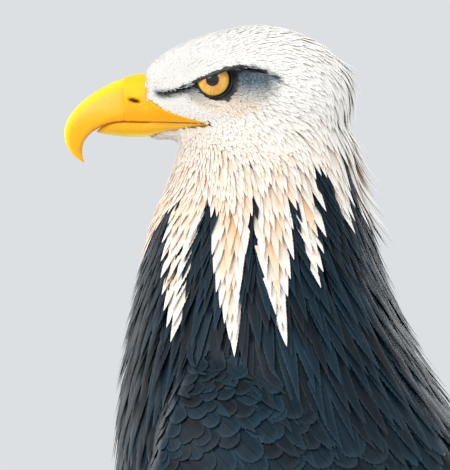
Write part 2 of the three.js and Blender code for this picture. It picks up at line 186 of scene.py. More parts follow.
# rings that close on themselves both ways
def closedRing(points):
    rows, columns = points.shape[:2]
    i, j = np.meshgrid(np.arange(rows), np.arange(columns), indexing="ij")
    i2, j2 = (i + 1) % rows, (j + 1) % columns
    quads = np.stack([i * columns + j, i * columns + j2, i2 * columns + j2, i2 * columns + j], -1)
    return points.reshape(-1, 3), [tuple(q) for q in quads.reshape(-1, 4)]


# Turns the faces of a part round if they look inwards.
def outward(verts, faces):
    corners = toMetres(verts)
    volume = sum(float(np.dot(corners[f[0]], np.cross(corners[f[i]], corners[f[i + 1]])))
                 for f in faces for i in range(1, len(f) - 1))
    return verts, (faces if volume > 0 else [tuple(reversed(f)) for f in faces])


# a closed loft through the rings of a shape, at the tips of the feathers or at the skin
def lofted(shape, rows, columns, bare=False):
    if bare:
        return closedLoft(ringGrid(shape["rings"][:len(shape["deep"])], rows, columns, shape["square"],
                                   -np.array(shape["deep"], float)))
    return closedLoft(ringGrid(shape["rings"], rows, columns, shape["square"]))


def mirroredParts(parts):
    return [(verts * [-1, 1, 1], [tuple(reversed(f)) for f in faces]) for verts, faces in parts]


def joinParts(parts):
    verts, faces, count = [], [], 0
    for v, f in parts:
        verts.append(v)
        faces += [tuple(i + count for i in face) for face in f]
        count += len(v)
    return np.vstack(verts), faces


def pieceFrom(name, mesh):
    piece = bpy.data.objects.new(name, mesh)
    bpy.context.scene.collection.objects.link(piece)
    return piece


def solidFrom(name, part):
    mesh = bpy.data.meshes.new(name)
    mesh.from_pydata(toMetres(part[0]).tolist(), [], part[1])
    mesh.validate()
    mesh.shade_smooth()
    return pieceFrom(name, mesh)


def attribute(mesh, label, values):
    mesh.attributes.new(label, "FLOAT_VECTOR", "POINT").data.foreach_set("vector", np.ravel(values))


# what each finished piece gets: its material, body and slot, and the nodes that it stands for
def finished(piece, material, nodes=()):
    piece.data.materials.append(material)
    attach(piece, "root")
    if nodes:
        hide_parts(*nodes)
    print(piece.name, len(piece.data.polygons), "faces")


def modified(piece, kind, **settings):
    modifier = piece.modifiers.new(kind.lower(), kind)
    for name, value in settings.items():
        setattr(modifier, name, value)
    made = bpy.data.meshes.new_from_object(piece.evaluated_get(bpy.context.evaluated_depsgraph_get()))
    old = piece.data
    piece.modifiers.clear()
    piece.data = made
    bpy.data.meshes.remove(old)
    return piece


def united(first, others):
    for other in others:
        modified(first, "BOOLEAN", operation="UNION", solver="MANIFOLD", object=other)
        bpy.data.objects.remove(other)
    return first


def numbersOf(items, field, width, kind=float):
    made = np.empty(len(items) * width, kind)
    items.foreach_get(field, made)
    return made.reshape(-1, width)


def millimetresOf(items, field):
    points = numbersOf(items, field, 3) * 1000
    points[:, 1] = footY - points[:, 1]
    return points


def arraysOf(mesh):
    mesh.calc_loop_triangles()
    return (millimetresOf(mesh.vertices, "co"), numbersOf(mesh.edges, "vertices", 2, int),
            numbersOf(mesh.loop_triangles, "vertices", 3, int))


def relaxed(values, edges, rounds, strength=0.5):
    values = np.array(values, float)
    count = len(values)
    shared = np.maximum(np.bincount(edges.ravel(), minlength=count), 1)[:, None]
    one, other = edges.T
    for _ in range(rounds):
        total = np.stack([np.bincount(one, v[other], count) + np.bincount(other, v[one], count)
                          for v in values.T], 1)
        values += strength * (total / shared - values)
    return values


def reshape(piece, change):
    verts, edges, _ = arraysOf(piece.data)
    piece.data.vertices.foreach_set("co", toMetres(change(verts, edges)).ravel())
    piece.data.update()
    return piece


# one skin over overlapping parts, with its steps smoothed away and its size kept
def remeshed(name, parts, voxel, rounds):
    def eased(verts, edges):
        for _ in range(rounds):
            verts = relaxed(relaxed(verts, edges, 1, 0.6), edges, 1, -0.62)
        return verts

    piece = solidFrom(name, joinParts(parts))
    return reshape(modified(piece, "REMESH", mode="VOXEL", voxel_size=voxel / 1000), eased)


# The ledge of bone over the eye. Each row is a point of its sharp lower edge from the eye, ahead and up, how
# far that stands from the middle plane, and the size of the wedge behind it.
brow = {"rows": np.array([
    (38, -2.8, 10.5, 0.30), (33, -4.7, 14.9, 0.45), (27, -5.3, 19.6, 0.65), (19, -4.0, 26.0, 0.85),
    (11, -1.2, 31.2, 1.0), (3, 1.7, 34.6, 1.0), (-6, 4.9, 36.4, 1.0), (-14, 6.8, 36.8, 0.95),
    (-22, 5.8, 36.2, 0.8), (-29, 2.4, 35.4, 0.55), (-34, -1.6, 34.0, 0.3),
]) + [*eyeAt[1:], 0, 0], "section": [
    (0, 0), (-0.25, 1.0), (-0.8, 2.7), (-2.0, 5.2), (-4.2, 7.8), (-7.6, 9.6), (-13, 9.4), (-13, 1), (-9, -0.2),
    (-5, -0.5), (-2.2, -0.65), (-0.6, -0.5), (0, 0),
]}
lid = {"opening": 9.1, "front": 1.2, "upper": 3.1, "slope": 0.36, "section": [
    (1.6, -1.3), (0.5, -0.4), (-0.05, 0.2), (-0.1, 0.65), (0.3, 1.0), (1.0, 1.1), (1.7, 0.75), (2.2, 0.8),
    (2.9, 0.55), (3.9, -0.4), (4.6, -1.8), (3.6, -3.6), (2.2, -3.2), (1.6, -1.3),
]}
eye = {"ball": 12.5, "cornea": 1.3, "edge": math.radians(44.5), "turn": math.radians(5)}
leg = {"apart": 58, "length": 92, "lean": math.radians(17), "thick": 17, "sink": 0.9, "scute": 4.6,
       "radii": (12.2, 9.8, 9.0, 9.4, 10.8), "swell": (0.86, 1.0, 0.88, 1.0, 0.86, 0.96, 0.84, 0.6)}
toes = [dict(zip(("name", "turn", "length", "claw", "width"), row)) for row in (
    ("hallux", 188, 42, 41, 18.5), ("inner", -27, 57, 38, 18.5), ("middle", 6, 80, 34, 18.0),
    ("outer", 46, 62, 30, 16.5))]


def browHeight(ahead):
    return np.interp(ahead, brow["rows"][::-1, 0], brow["rows"][::-1, 1])


def browEdge(ahead):
    return np.interp(ahead, brow["rows"][::-1, 0], brow["rows"][::-1, 2])


def browPart(grow=0.0):
    rows, columns = 60, 30
    t = np.linspace(0, 1, rows + 1)
    size = splineAt(brow["rows"][:, 3:], t)
    section = splineAt(brow["section"], np.linspace(0, 1, columns + 1)[:-1])
    points = np.repeat(splineAt(brow["rows"][:, [2, 0, 1]], t)[:, None], columns, 1)
    points[..., 0] += size * section[None, :, 0] + grow
    points[..., 2] += size * section[None, :, 1] * (1 + grow / 8)
    return outward(*closedLoft(points))


def ballSide(reach):
    return eyeAt[0] + np.sqrt(np.maximum(eye["ball"] ** 2 - np.asarray(reach) ** 2, 0))


def lidPart():
    angle, columns = onceRound(110), 30
    cut = np.sin(angle) + lid["slope"] * np.cos(angle)
    opening = lid["opening"] + lid["front"] * np.maximum(np.cos(angle - 0.25), 0) ** 12
    upper = np.where(cut > 0.05, lid["upper"] / np.maximum(cut, 0.05), 99)
    opening = (opening ** -7.0 + upper ** -7.0) ** (-1 / 7)
    section = splineAt(lid["section"], np.linspace(0, 1, columns + 1)[:-1])
    reach = opening[:, None] + section[None, :, 0]
    out = ballSide(np.minimum(reach, 10.5)) - np.maximum(reach - 10.5, 0) * 0.5 + section[None, :, 1]
    points = np.stack([
        out, eyeAt[1] + reach * np.cos(angle)[:, None], eyeAt[2] + reach * np.sin(angle)[:, None]], -1)
    return outward(*closedRing(points))


# The hollow that the eye sits in, under the brow: a bowl against the ball, open behind and raised in front.
def carved(verts, above):
    ahead, up = verts[:, 1] - eyeAt[1], verts[:, 2] - eyeAt[2]
    side = np.abs(verts[:, 0])
    reach = np.hypot(ahead, up)
    wall = np.where(reach < 9.5, ballSide(reach) - 1.6, 28.4 + (reach - 9.5) * 0.8 + above)
    shelf = np.where(reach < 9.5, 0, 27.6 - (reach - 9.5) * 1.2 + above)
    fold = 0.9 * np.exp(-((np.hypot(ahead / 17.5, up / 14.4) - 1) / 0.07) ** 2) * smoothStep(6, -4, up)
    made = np.maximum(np.minimum(side, wall), shelf) - fold
    share = smoothStep(-1.5, 1.5, browHeight(verts[:, 1]) - verts[:, 2]) * (1 - smoothStep(19, 25, reach))
    share = share * (side > 10)
    return np.stack([np.sign(verts[:, 0]) * (side + (made - side) * share), verts[:, 1], verts[:, 2]], 1)


def turnedOut(points, turn):
    angle = math.radians(turn)
    side, ahead = points[..., 0], points[..., 1]
    return np.stack([leg["apart"] + side * math.cos(angle) + ahead * math.sin(angle),
                     ahead * math.cos(angle) - side * math.sin(angle), points[..., 2]], -1)


# Plates run across the front of the shank and the tops of the toes, each overlapping the next.
def plated(points, length, front, high=0.55):
    along = np.linspace(0, length / leg["scute"], len(points))[:, None]
    step = along - np.floor(along)
    rise = high * (step ** 0.6 - 1.2 * smoothStep(0.86, 1.0, step))
    return points + unit(points - points.mean(1, keepdims=True)) * (rise * front[None, :])[..., None]


def toePart(toe):
    rings, columns = [], 36
    for i, share in enumerate(leg["swell"]):
        along = min(i / 6, 1.03)
        ahead = 6 + along * toe["length"]
        tall = leg["thick"] * (1 - 0.16 * along) * share
        bottom = -leg["sink"] + (1 - share) * 7 + 13 * max(0, along - 0.8)
        rings.append((ahead, bottom + tall, ahead, bottom, toe["width"] / 2 * share))
    points = ringGrid(rings, int(toe["length"] * 1.15), columns, 0.92)
    points = plated(points, toe["length"], smoothStep(0.35, 0.8, np.cos(onceRound(columns))))
    points[..., 2] = np.maximum(points[..., 2], 0)
    return outward(*closedLoft(turnedOut(points, toe["turn"])))


def shankPart():
    heel = (-leg["length"] * math.sin(leg["lean"]), leg["length"] * math.cos(leg["lean"]) + leg["thick"])
    rings, columns = [], 44
    for i, r in enumerate(leg["radii"]):
        ahead, up = heel[0] * (i / 4), 10 + (heel[1] - 10) * (i / 4)
        rings.append((ahead + r * 1.15, up, ahead - r * 1.15, up - 2, r, leg["apart"]))
    front = smoothStep(0.2, 0.75, np.cos(onceRound(columns)))
    return outward(*closedLoft(plated(ringGrid(rings, 90, columns), leg["length"], front, 0.7)))


# the ball of the foot, where the toes meet
def ballPart():
    polar, around = np.linspace(0.06, math.pi - 0.06, 24)[:, None], onceRound(40)[None]
    points = np.stack([np.sin(polar) * np.cos(around), np.sin(polar) * np.sin(around),
                       np.repeat(np.cos(polar), around.size, 1)], -1)
    points = np.array((leg["apart"], -1, 9)) + points * (15.5, 17, 11)
    points[..., 2] = np.maximum(points[..., 2], 0.4)
    return outward(*closedLoft(points))


def tailPoint(distance, above, side=0.0):
    along, rise = math.cos(tail["slope"]), math.sin(tail["slope"])
    return np.stack(np.broadcast_arrays(side, tail["ahead"] - along * distance - rise * above,
                                        tail["up"] - rise * distance + along * above), -1)


def rumpPart(grow):
    rings = []
    for share in (-0.10, 0.0, 0.12, 0.24, 0.36):
        thick = 30 - 26 * share - 2 * grow
        middle = tailPoint(share * tail["length"], 0)
        up = (tailPoint(share * tail["length"], 1) - middle) * thick / 2
        rings.append((*(middle + up)[1:], *(middle - up)[1:], 29 + 30 * share - grow))
    return closedLoft(ringGrid(rings, 30, 40, 0.8))


# The voxel of each form in millimetres, and its rounds of smoothing. Kept is the share of faces that stay, and
# rump how far the root of the tail is drawn in.
forms = {"coat": {"voxel": 2.0, "rounds": 12}, "skin": {"voxel": 2.3, "rounds": 10, "kept": 0.42, "rump": 6}}


# the surface that the tips of the feathers reach
def coatForm():
    sides = [lofted(wing, 90, 48), lofted(thigh, 50, 40), browPart(grow=0.8)]
    middle = [lofted(trunk, 90, 72), lofted(head, 60, 56), rumpPart(0)]
    made = remeshed("coat_form", [*middle, *sides, *mirroredParts(sides)], **forms["coat"])
    return reshape(made, lambda verts, edges: carved(verts, above=0.9))


form = coatForm()
print("coat form", len(form.data.vertices), "points")

# How feathers lie: [ahead, up, heading, length, width, pointed]. Heading is in degrees, 90 is up and 180
# is towards the tail; pointed is 1 for a lance-shaped feather and 0 for a round one.
bodyLay = np.array([
    (117, 661, 140, 3.2, 1.7, 0.5), (108, 669, 152, 4.2, 2.0, 0.5), (90, 678, 163, 6.0, 2.6, 0.6),
    (70, 683, 176, 8.0, 3.2, 0.7), (50, 685, 186, 10.0, 3.8, 0.8), (30, 680, 205, 14.0, 4.6, 0.9),
    (15, 668, 228, 19.0, 5.4, 1.0), (7, 654, 246, 25.0, 6.2, 1.0), (8, 629, 262, 31.0, 7.4, 1.0),
    (2, 609, 266, 37.0, 8.6, 1.0), (-5, 574, 262, 48.0, 10.6, 1.0), (-15, 539, 252, 54.0, 13.5, 0.9),
    (-35, 500, 246, 55.0, 18.0, 0.6), (-60, 465, 242, 55.0, 22.0, 0.4), (-90, 415, 239, 55.0, 24.0, 0.25),
    (-125, 350, 238, 54.0, 25.0, 0.2), (-155, 290, 237, 52.0, 24.0, 0.2), (-175, 245, 235, 52.0, 24.0, 0.2),
    (108, 646, 200, 2.6, 1.3, 0.6), (116, 636, 195, 2.4, 1.2, 0.6), (100, 652, 195, 2.6, 1.3, 0.6),
    (85, 640, 195, 3.0, 1.5, 0.6), (90, 628, 215, 4.4, 2.0, 0.6), (114, 628, 215, 3.2, 1.6, 0.6),
    (66, 654, 190, 4.4, 2.0, 0.6), (52, 659, 192, 7.0, 2.8, 0.7), (40, 646, 208, 9.5, 3.5, 0.8),
    (72, 628, 222, 7.0, 2.9, 0.7), (52, 622, 235, 11.5, 4.0, 0.9), (98, 618, 248, 6.5, 2.7, 0.7),
    (100, 604, 262, 11.0, 3.9, 0.8), (80, 609, 250, 13.5, 4.4, 0.9), (50, 599, 256, 24.0, 6.4, 1.0),
    (30, 594, 258, 31.0, 7.6, 1.0), (108, 594, 283, 17.0, 5.2, 0.9), (120, 569, 282, 27.0, 7.0, 1.0),
    (124, 544, 277, 38.0, 9.2, 1.0), (90, 574, 270, 30.0, 7.6, 1.0), (60, 569, 265, 40.0, 9.2, 1.0),
    (90, 539, 268, 45.0, 10.4, 1.0), (50, 534, 261, 51.0, 11.4, 1.0), (130, 500, 272, 46.0, 13.0, 0.9),
    (134, 460, 270, 44.0, 16.0, 0.7), (130, 400, 262, 43.0, 19.0, 0.45), (112, 340, 250, 42.0, 20.0, 0.3),
    (78, 280, 236, 42.0, 20.0, 0.25), (25, 228, 215, 42.0, 20.0, 0.25), (-40, 195, 195, 42.0, 19.0, 0.25),
    (-100, 180, 200, 42.0, 18.0, 0.25), (-145, 185, 225, 44.0, 18.0, 0.2), (60, 490, 262, 52.0, 15.0, 0.8),
    (40, 430, 252, 47.0, 20.0, 0.5), (10, 340, 244, 44.0, 21.0, 0.3), (-30, 270, 235, 44.0, 21.0, 0.3),
    (-100, 230, 225, 44.0, 20.0, 0.2),
])
wingLay = np.array([
    (112, 465, 240, 14, 9, 0.1), (100, 500, 222, 15, 10, 0.1), (60, 518, 212, 20, 13, 0.1),
    (100, 430, 240, 18, 12, 0.1), (70, 470, 230, 23, 15, 0.1), (30, 500, 218, 27, 17, 0.1),
    (80, 400, 241, 26, 16, 0.1), (40, 430, 234, 31, 19, 0.1), (0, 470, 226, 35, 20, 0.1),
    (40, 370, 240, 38, 20, 0.1), (0, 400, 236, 42, 22, 0.1), (-30, 430, 231, 42, 22, 0.1),
    (-60, 330, 236, 50, 24, 0.1), (-150, 220, 235, 50, 24, 0.1),
])
thighLay = np.array([
    (40, 300, 262, 36, 17, 0.3), (0, 270, 260, 36, 17, 0.3), (40, 240, 264, 36, 16, 0.3),
    (-50, 240, 255, 36, 16, 0.3), (30, 180, 262, 34, 14, 0.35), (-50, 170, 257, 34, 14, 0.35),
    (10, 130, 262, 27, 11, 0.4), (-40, 125, 260, 26, 11, 0.4), (-10, 100, 264, 20, 8, 0.5),
    (-22, 80, 265, 13, 5, 0.5),
])
# Which lay each part of the coat has, and the corner, width and height of its field in the OFBake map.
coatParts = (
    (trunk, (60, 48), 1, bodyLay, (0.01, 0.01), (0.48, 0.6)),
    (head, (40, 40), 1, bodyLay, (0.01, 0.63), (0.48, 0.35)),
    (wing, (50, 36), 1, wingLay, (0.51, 0.01), (0.23, 0.6)),
    (wing, (50, 36), -1, wingLay, (0.76, 0.01), (0.23, 0.6)),
    (thigh, (30, 30), 1, thighLay, (0.51, 0.63), (0.23, 0.35)),
    (thigh, (30, 30), -1, thighLay, (0.76, 0.63), (0.23, 0.35)),
)


def layAt(points, table):
    gap = ((points[:, None, 1:] - table[None, :, :2]) ** 2).sum(-1)
    weight = 1 / (gap + 9) ** 2
    weight /= weight.sum(1, keepdims=True)
    angle = np.radians(table[:, 2])
    way = weight @ np.stack([np.zeros(len(table)), np.cos(angle), np.sin(angle)], 1)
    return unit(way), weight @ table[:, 3:]


# for each triangle of the form: its normal, part, place in the map, and the way and size of its feathers
class Coat:

    def __init__(self, piece):
        verts, edges, triangles = arraysOf(piece.data)
        self.tree = BVHTree.FromPolygons(verts.tolist(), triangles.tolist())
        self.corners = verts[triangles]
        one, two, three = self.corners.transpose(1, 0, 2)
        cross = -np.cross(two - one, three - one)  # the mirrored second axis turns each face round
        self.area = np.linalg.norm(cross, axis=1) / 2
        normals = np.stack([sum(np.bincount(triangles[:, k], axis, len(verts)) for k in range(3))
                            for axis in cross.T], 1)
        self.normal = unit(unit(relaxed(unit(normals), edges, 6))[triangles].mean(1))
        self.centres = self.corners.mean(1)
        points, tags = [], []
        for number, (shape, (rows, columns), sign, _, corner, field) in enumerate(coatParts):
            grid = ringGrid(shape["rings"], rows, columns, shape["square"]) * [sign, 1, 1]
            i, j = np.meshgrid(np.arange(rows + 1) / (rows + 1), np.arange(columns) / columns, indexing="ij")
            points.append(grid.reshape(-1, 3))
            tags.append(np.stack([0 * i + number, corner[0] + j * field[0], corner[1] + i * field[1]],
                                 -1).reshape(-1, 3))
        points, tags = np.vstack(points), np.vstack(tags)
        tree = KDTree(len(points))
        for index, point in enumerate(points):
            tree.insert(point, index)
        tree.balance()
        tags = tags[[tree.find(c)[1] for c in self.centres]]
        self.part, self.unwrap = tags[:, 0].astype(int), tags[:, 1:]
        self.way, self.size = np.zeros_like(self.centres), np.zeros_like(self.centres)
        for number, part in enumerate(coatParts):
            mine = self.part == number
            self.way[mine], self.size[mine] = layAt(self.centres[mine], part[3])
        self.way = flattened(self.way, self.normal)

    def nearest(self, points):
        found = [self.tree.find_nearest(p) for p in points.reshape(-1, 3).tolist()]
        return np.array([f[0] for f in found]), np.array([f[2] for f in found])

    # how far points stand above the coat, and the normals there
    def above(self, points):
        spot, face = self.nearest(points)
        normal = self.normal[face]
        return ((points.reshape(-1, 3) - spot) * normal).sum(1), normal, face


coat = Coat(form)
print("lay of the coat", len(coat.area))


# Keeps the skin below the coat, deeper where the feathers are longer.
def sunk(verts):
    above, normal, face = coat.above(verts)
    depth = np.interp(coat.size[face, 0], [2, 4, 10, 25, 45], [0.3, 0.6, 1.3, 2.6, 3.8])
    return verts - normal * np.clip(above + depth, 0, 12)[:, None]


# the body under the feathers, with bare lids, brows, shanks and toes in the same surface
def skinForm():
    sides = [lofted(wing, 60, 40, True), lofted(thigh, 40, 36, True)]
    own = forms["skin"]
    middle = [lofted(trunk, 80, 60, True), lofted(head, 60, 56, True), rumpPart(own["rump"])]
    made = remeshed("skin", [*middle, *sides, *mirroredParts(sides)], own["voxel"], own["rounds"])
    reshape(made, lambda verts, edges: sunk(carved(verts, 0.0)))
    modified(made, "DECIMATE", ratio=own["kept"])
    foot = united(solidFrom("foot", shankPart()), [solidFrom("ball", ballPart())]
                  + [solidFrom(toe["name"], toePart(toe)) for toe in toes])
    orbit = united(solidFrom("brow", browPart()), [solidFrom("lid", lidPart())])
    halves = []
    for bare in (foot, orbit):
        verts = arraysOf(bare.data)[0]
        halves.append((verts, [tuple(p.vertices) for p in bare.data.polygons]))
        bpy.data.objects.remove(bare)
    return united(made, [solidFrom("bare", outward(*joinParts(halves + mirroredParts(halves))))])


skin = skinForm()
print("skin", len(skin.data.vertices), "points")


# roots for feathers on the chosen faces, at random but never closer than their spacing
def scattered(spacing, chosen, crowd=5.0):
    faces = np.flatnonzero(chosen)
    share = coat.area[faces] / spacing[faces] ** 2
    count = int(share.sum() * crowd)
    picked = random.choice(faces, count, p=share / share.sum())
    r1, r2 = np.sqrt(random.random((count, 1))), random.random((count, 1))
    c = coat.corners[picked]
    points = c[:, 0] * (1 - r1) + c[:, 1] * r1 * (1 - r2) + c[:, 2] * r1 * r2
    cells = np.floor(points / spacing[picked].max()).astype(int).tolist()
    around = list(product((-1, 0, 1), repeat=3))
    room, kept = {}, []
    for i, (p, near, (x, y, z)) in enumerate(zip(points.tolist(), spacing[picked].tolist(), cells)):
        close = (q for dx, dy, dz in around for q in room.get((x + dx, y + dy, z + dz), ()))
        if not any(math.dist(p, q) < near for q in close):
            room.setdefault((x, y, z), []).append(p)
            kept.append(i)
    return points[kept], picked[kept]


# The line of each shaft: it leaves the skin at its root and follows the lay of the coat, or heads for its aim.
def shafts(roots, way, length, depth, lift, steps, stiff=0.35, aims=None):
    p, t = roots.copy(), way.copy()
    line, normals = [], []
    for k in range(steps + 1):
        above, n, face = coat.above(p)
        share = k / steps
        height = -depth * (1 - share) ** 1.1 + lift * share ** 2
        p = p + n * ((height - above) * np.where(above > height, 0.85, 1.0))[:, None]
        line.append(p)
        normals.append(n)
        flow = coat.way[face] if aims is None else unit(aims - p)
        t = flattened(unit(t * stiff + flow * (1 - stiff) if k else t), n)
        p = p + t * (length / steps)[:, None]
    return np.stack(line, 1), np.stack(normals, 1)


def outline(s, pointed):
    s, pointed = s[None, :], pointed[:, None]
    blunt = np.minimum(s / 0.18, 1) ** 0.6 * np.sqrt(np.maximum(1 - np.maximum((s - 0.62) / 0.38, 0) ** 2.3, 0))
    lance = np.minimum(s / 0.3, 1) ** 0.7 * (1 - np.maximum((s - 0.3) / 0.7, 0) ** 1.35)
    return blunt * (1 - pointed) + lance * pointed


def spread(s, values):
    steps = values.shape[1] - 1
    i = np.minimum((s * steps).astype(int), steps - 1)
    w = (s * steps - i)[None, :, None]
    return values[:, i] * (1 - w) + values[:, i + 1] * w


# Builds a feather on each shaft: two webs with a toothed edge, which may drape over the coat. Bias makes one web
# the wider, splitting is the share of rows where the barbs have parted, and web is how wide the rows are
# between the tips of the teeth.
def vanes(line, normals, length, width, pointed, rows, camber=0.1, ragged=0.03, drape=False, bias=0.0,
          splitting=0.01, web=0.98, tone=None, unwrap=None):
    count, steps = len(line), line.shape[1] - 1
    t = unit(np.gradient(line, axis=1))
    b = unit(np.cross(normals, t))
    n = np.cross(t, b)
    s = 1 - (1 - np.linspace(0, 1, rows + 1)) ** 1.4
    half = width[:, None] / 2 * outline(s, pointed)
    half *= 1 + ragged * (random.random(half.shape) - 0.5)
    half = np.where(random.random(half.shape) < splitting, half * 0.72, half)
    fine, side, up = (spread(s, v) for v in (line, b, n))
    sag = np.zeros((count, steps + 1, 2))
    if drape:
        coarse = width[:, None] / 2 * outline(np.linspace(0, 1, steps + 1), pointed)
        under = coat.above(line)[0]
        for which, sign in enumerate((-1, 1)):
            above = coat.above(line + b * (sign * coarse)[..., None])[0]
            sag[..., which] = np.clip((under - above).reshape(count, -1), -0.6 * coarse, 0.5 * coarse)
    sag = spread(s, sag)
    # The tip of each tooth of barbs leans towards the feather's own tip.
    ahead = 0.2 + 0.4 * random.random((count, rows, 2))
    reach = 1 + (1 - web) * random.random((count, rows, 2))
    wide = (half[:, :-1] + half[:, 1:]) / 2
    webs, teeth = [], []
    for which, sign in enumerate((-1, 1)):
        share = 1 + sign * bias
        webs.append(fine + side * (sign * (half * web * share))[..., None]
                    + up * (sag[..., which] * web - camber * half * 0.7)[..., None])
        base = (fine[:, :-1] + fine[:, 1:]) / 2 + (fine[:, 1:] - fine[:, :-1]) * ahead[..., which, None]
        lower = (sag[:, :-1, which] + sag[:, 1:, which]) / 2 - camber * wide
        teeth.append(base + side[:, :-1] * (sign * (wide * reach[..., which] * share))[..., None]
                     + up[:, :-1] * lower[..., None])
    r, i, mid = rows + 1, np.arange(rows), (s[:-1] + s[1:]) / 2
    left, shaft, right, leftTip, rightTip = i, r + i, 2 * r + i, 3 * r + i, 3 * r + rows + i
    return {
        "points": np.concatenate([webs[0], fine, webs[1], *teeth], 1), "length": length, "width": width,
        "faces": np.concatenate([np.stack(corners, 1) for corners in (
            (left, shaft, shaft + 1), (left, shaft + 1, left + 1), (shaft, right, right + 1),
            (shaft, right + 1, shaft + 1), (left, left + 1, leftTip), (right, rightTip, right + 1))]),
        "across": np.concatenate([-np.full(r, web), np.zeros(r), np.full(r, web), -np.ones(rows), np.ones(rows)]),
        "along": np.concatenate([s, s, s, mid, mid]), "chance": random.random(count),
        "tone": np.zeros((count, 3)) if tone is None else tone, "unwrap": unwrap if unwrap is not None else
        np.stack([(np.arange(count) + 0.5) / count, np.full(count, 0.5)], 1)}


# One piece of the coat from groups of feathers. Each point keeps its place on its feather, the feather's size,
# chance and markings with their painted shade, and a patch of the OFBake map of its own.
def plumage(name, groups, material, nodes=(), patchSize=(0.0015, 0.0015)):
    made = {key: [] for key in ("verts", "faces", "vane", "tone", "size", "patch")}
    count = 0
    for g in groups:
        number, per = g["points"].shape[:2]
        across, along = np.tile(g["across"], number), np.tile(g["along"], number)
        each = {key: np.repeat(g[key], per, 0) for key in ("chance", "tone", "unwrap", "length", "width")}
        made["verts"].append(g["points"].reshape(-1, 3))
        made["faces"].append((g["faces"][None] + (np.arange(number) * per)[:, None, None]).reshape(-1, 3) + count)
        made["vane"].append(np.stack([across, along, each["chance"]], 1))
        made["tone"].append(each["tone"])
        made["size"].append(np.stack([each["length"], each["width"], 0 * along], 1))
        made["patch"].append(each["unwrap"] + np.stack([across, 2 * along - 1], 1) * patchSize)
        count += number * per
    made = {key: np.vstack(values) for key, values in made.items()}
    total = len(made["faces"])
    mesh = bpy.data.meshes.new(name)
    for items, size, field, values in (
            (mesh.vertices, count, "co", toMetres(made["verts"])),
            (mesh.loops, total * 3, "vertex_index", made["faces"]),
            (mesh.polygons, total, "loop_start", np.arange(total) * 3)):
        items.add(size)
        items.foreach_set(field, values.ravel())
    mesh.polygons.foreach_set("loop_total", np.full(total, 3))
    mesh.update(calc_edges=True)
    mesh.shade_smooth()
    for label in ("vane", "tone", "size"):
        attribute(mesh, label, made[label])
    mesh.uv_layers.new(name="OFBake").data.foreach_set("uv", made["patch"][made["faces"].ravel()].ravel())
    finished(pieceFrom(name, mesh), material, nodes)


# Sets the sockets of a node: a socket is linked, a hex colour is turned to linear light.
def setSockets(tree, node, inputs):
    for name, value in inputs.items():
        if isinstance(value, bpy.types.NodeSocket):
            tree.links.new(value, node.inputs[name])
        else:
            node.inputs[name].default_value = srgb(value) if isinstance(value, str) else value


# One node with its links and settings. What comes back is its output of that number, name or slice.
def addNode(tree, kind, inputs, out=0, **settings):
    made = tree.nodes.new("ShaderNode" + kind)
    for name, value in settings.items():
        setattr(made, name, value)
    setSockets(tree, made, inputs)
    return made.outputs[out]


smooth, ofColours = {"interpolation_type": "SMOOTHSTEP"}, {"data_type": "RGBA"}  # settings of many nodes


# A material from the plain values of its shader, and from a recipe that adds the nodes for the other sockets.
def newMaterial(name, surface, recipe=None):
    material = bpy.data.materials.new(name)
    material.use_nodes = True
    tree = material.node_tree
    shader = tree.nodes["Principled BSDF"]
    setSockets(tree, shader, surface)
    if recipe:
        setSockets(tree, shader, recipe(partial(addNode, tree)))
    return material


# Keratin of the bill: hard, smooth and a little see-through, grown in thin layers from the face outwards. It
# gives a waxy gloss, faint growth lines 1.3 mm apart across it and fine scratches along it.
# Its colours hold painted light: the lemon of the ridge is a painted highlight along the top, and the deeper
# orange of the edge is painted shade below.
hornOfBill = {"ridge": "#fbdc00", "side": "#f7b400", "edge": "#ec9a00", "tip": "#dca63c", "growth": 1.3,
              "scratch": 0.35, "surface": {
                  "Roughness": 0.34, "IOR": 1.54, "Specular IOR Level": 0.3, "Coat Weight": 0.1,
                  "Coat Roughness": 0.22, "Subsurface Weight": 0.1, "Subsurface Radius": (0.9, 0.5, 0.12),
                  "Subsurface Scale": 0.002}}


def billRecipe(add):
    grain = add("Attribute", {}, "Vector", attribute_name="grain")
    along, _, high = add("SeparateXYZ", {0: grain}, slice(3))
    cloud = add("TexNoise", {"Vector": grain, "Scale": 0.11, "Detail": 4.0})
    edge = add("MapRange", {0: high, 1: 0.22, 2: 0.0}, **smooth)
    base = hornOfBill["side"]
    # painted highlight: lemon towards the top of the ridge; painted shade: deeper orange towards the cutting edge
    for share, colour in (
            (add("MapRange", {0: high, 1: 0.62, 2: 0.93}, **smooth), "ridge"),
            (add("Math", {0: edge, 1: 0.8}, operation="MULTIPLY"), "edge"),
            (add("MapRange", {0: cloud, 1: 0.45, 2: 0.75, 4: 0.16}), "tip")):
        base = add("Mix", {0: share, 6: base, 7: hornOfBill[colour]}, 2, **ofColours)
    # the growth lines run round the bill, and bend with a slow noise
    bend = add("Math", {0: cloud, 1: 5.0, 2: along}, operation="MULTIPLY_ADD")
    turns = add("Math", {0: bend, 1: 2 * math.pi / hornOfBill["growth"]}, operation="MULTIPLY")
    wave = add("Math", {0: turns}, operation="SINE")
    flat = add("VectorMath", {0: grain, 1: (0.16, 1 / hornOfBill["scratch"], 0)}, operation="MULTIPLY")
    scratch = add("TexNoise", {"Vector": flat, "Scale": 1.0, "Detail": 3.0})
    height = add("Math", {0: wave, 1: 0.12, 2: scratch}, operation="MULTIPLY_ADD")
    return {"Base Color": base, "Roughness": add("MapRange", {0: scratch, 1: 0.3, 2: 0.7, 3: 0.27, 4: 0.46}),
            "Normal": add("Bump", {"Height": height, "Strength": 0.22, "Distance": 0.0003})}


